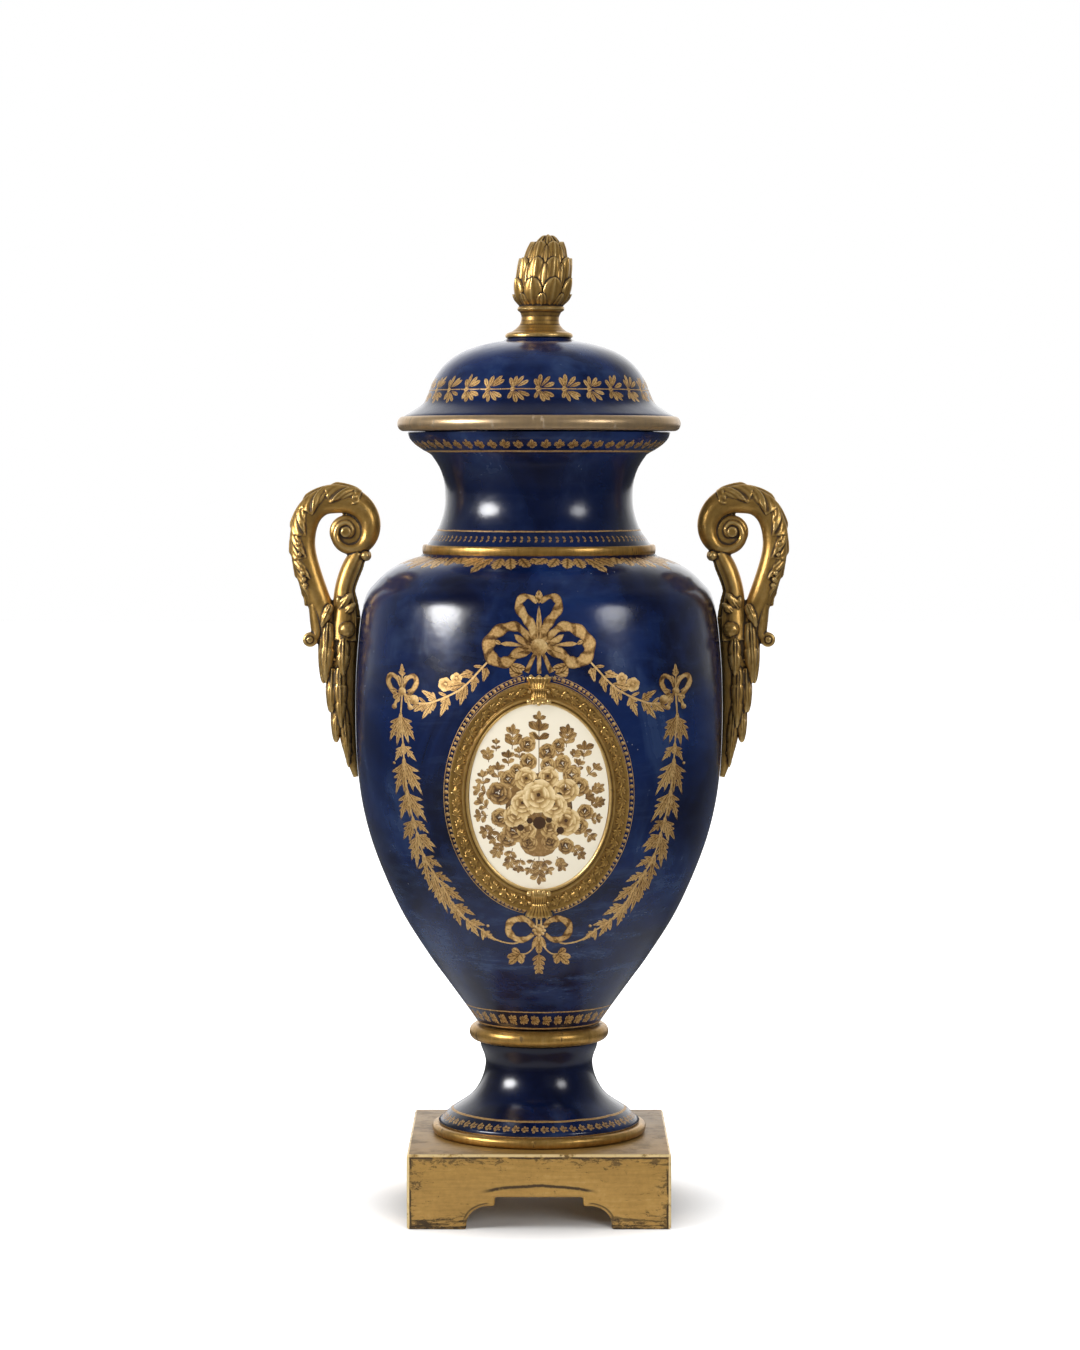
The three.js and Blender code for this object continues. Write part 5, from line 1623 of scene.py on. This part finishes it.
class UrnSizes(bpy.types.PropertyGroup):
    """Sizes of the urn's pieces."""


def size_property(name, description, value, low, high):
    """Returns a length property, in metres."""
    return FloatProperty(name=name, description=description, default=value, min=low, max=high, precision=5,
                         subtype="DISTANCE", unit="LENGTH")


UrnSizes.__annotations__ = {
    "finial_lean": size_property("Finial lean", "How far the finial's tip leans to the right", 0.0046, 0.0, 0.008),
    "finial_grain": size_property("Finial grain", "Smallest detail of the finial's casting", 0.0003, 0.00025, 0.001),
    "handle_grain": size_property("Handle grain", "Smallest detail of the handles' casting", 0.0005, 0.0004, 0.001),
    "plaque_lift": size_property("Plaque lift", "How far the plaque stands off the belly", 0.002, 0.001, 0.003),
    "plinth_wall": size_property("Plinth wall", "Thickness of the plinth's sides", 0.005, 0.003, 0.01),
    "plinth_edge": size_property("Plinth edge", "Roundness of the plinth's edges", 0.0013, 0.0003, 0.003),
}


class UrnColours(bpy.types.PropertyGroup):
    """Colours of the urn's finishes."""


def colour_property(name, description, value):
    """Returns a colour property."""
    return FloatVectorProperty(name=name, description=description, default=value, subtype="COLOR", size=3,
                               min=0, max=1)


UrnColours.__annotations__ = {
    "glaze_deep": colour_property("Deep glaze", "Darkest blue of the glaze", (0.0009, 0.0022, 0.014)),
    "glaze": colour_property("Glaze", "Main blue of the glaze", (0.0035, 0.0135, 0.066)),
    # Also the colour of the painted floor reflection low on the belly.
    "glaze_milky": colour_property("Clouded glaze", "Greyish blue of clouded glaze", (0.030, 0.060, 0.14)),
    "gilding_dark": colour_property("Gilding lines", "Darkest gilding", (0.10, 0.045, 0.012)),
    "gilding": colour_property("Gilding", "Main gilding", (0.42, 0.235, 0.075)),
    "gilding_light": colour_property("Gilding lights", "Lightest gilding", (0.66, 0.43, 0.17)),
    "bronze_dark": colour_property("Dark bronze", "Gilt bronze in the shade", (0.10, 0.052, 0.014)),
    "bronze": colour_property("Bronze", "Worn gilt bronze", (0.27, 0.155, 0.042)),
    "gilt": colour_property("Gilt", "Main gilt", (0.49, 0.285, 0.075)),
    # Also the lightest gilt, which ridges reach as painted highlight.
    "gilt_bright": colour_property("Bright gilt", "Rubbed gilt", (0.72, 0.50, 0.20)),
    # Also the brown of the painted shade in the castings' hollows and round the plinth's openings.
    "patina": colour_property("Patina", "Brown of the hollows", (0.028, 0.015, 0.005)),
    "cream": colour_property("Plaque ground", "Cream of the plaque", (0.76, 0.69, 0.54)),
}


class URN_OT_porcelain(bpy.types.Operator):
    """Models the body, lid and foot"""
    bl_idname = "urn.porcelain"
    bl_label = "Body, lid and foot"

    def execute(self, context):
        vessels(cobalt_porcelain(context.scene.urn_colours))
        return {"FINISHED"}


class URN_OT_rings(bpy.types.Operator):
    """Models the gilt rings and the collar"""
    bl_idname = "urn.rings"
    bl_label = "Rings and collar"

    def execute(self, context):
        colours = context.scene.urn_colours
        rings(gilt_bronze(colours, "gilt_bronze_turned", streaks=True),
              gilt_bronze(colours, "gilt_bronze_rim", streaks=True, dull=0.5))
        return {"FINISHED"}


class URN_OT_plinth(bpy.types.Operator):
    """Models the plinth"""
    bl_idname = "urn.plinth"
    bl_label = "Plinth"

    def execute(self, context):
        bronze = gilt_bronze(context.scene.urn_colours, "gilt_bronze_plinth", patina=plinth_wear_shade_and_highlight)
        plinth(bronze, context.scene.urn_sizes)
        return {"FINISHED"}


class URN_OT_handles(bpy.types.Operator):
    """Models the two scroll handles"""
    bl_idname = "urn.handles"
    bl_label = "Handles"

    def execute(self, context):
        handles(gilt_bronze(context.scene.urn_colours, "gilt_bronze_cast", cavity=True), context.scene.urn_sizes)
        return {"FINISHED"}


class URN_OT_finial(bpy.types.Operator):
    """Models the pine cone finial"""
    bl_idname = "urn.finial"
    bl_label = "Finial"

    def execute(self, context):
        finial(gilt_bronze(context.scene.urn_colours, "gilt_bronze_finial", cavity=True), context.scene.urn_sizes)
        return {"FINISHED"}


class URN_OT_medallion(bpy.types.Operator):
    """Models the oval plaque and its frame"""
    bl_idname = "urn.medallion"
    bl_label = "Medallion"

    def execute(self, context):
        medallion_frame(gilt_bronze(context.scene.urn_colours, "gilt_bronze_frame", cavity=True))
        plaque(cream_porcelain(context.scene.urn_colours), context.scene.urn_sizes)
        return {"FINISHED"}


class URN_OT_stage(bpy.types.Operator):
    """Sets up the floor, lights and camera"""
    bl_idname = "urn.stage"
    bl_label = "Stage"

    def execute(self, context):
        stage()
        return {"FINISHED"}


OPERATORS = (URN_OT_porcelain, URN_OT_rings, URN_OT_plinth, URN_OT_handles, URN_OT_finial, URN_OT_medallion,
             URN_OT_stage)


class URN_PT_panel(bpy.types.Panel):
    """Lists the urn's pieces"""
    bl_label = "Mantel urn"
    bl_idname = "URN_PT_panel"
    bl_space_type = "VIEW_3D"
    bl_region_type = "UI"
    bl_category = "Urn"

    def draw(self, context):
        for group in (context.scene.urn_sizes, context.scene.urn_colours):
            for name in type(group).__annotations__:
                self.layout.prop(group, name)
        for operator in OPERATORS:
            self.layout.operator(operator.bl_idname)


def register():
    for group in (UrnSizes, UrnColours, *OPERATORS, URN_PT_panel):
        bpy.utils.register_class(group)
    bpy.types.Scene.urn_sizes = PointerProperty(type=UrnSizes)
    bpy.types.Scene.urn_colours = PointerProperty(type=UrnColours)


def unregister():
    del bpy.types.Scene.urn_colours
    del bpy.types.Scene.urn_sizes
    for group in (URN_PT_panel, *reversed(OPERATORS), UrnColours, UrnSizes):
        bpy.utils.unregister_class(group)


def main():
    """Builds every piece and the stage."""
    register()
    for operator in OPERATORS:
        group, name = operator.bl_idname.split(".")
        getattr(getattr(bpy.ops, group), name)()


if __name__ == "__main__":
    main()
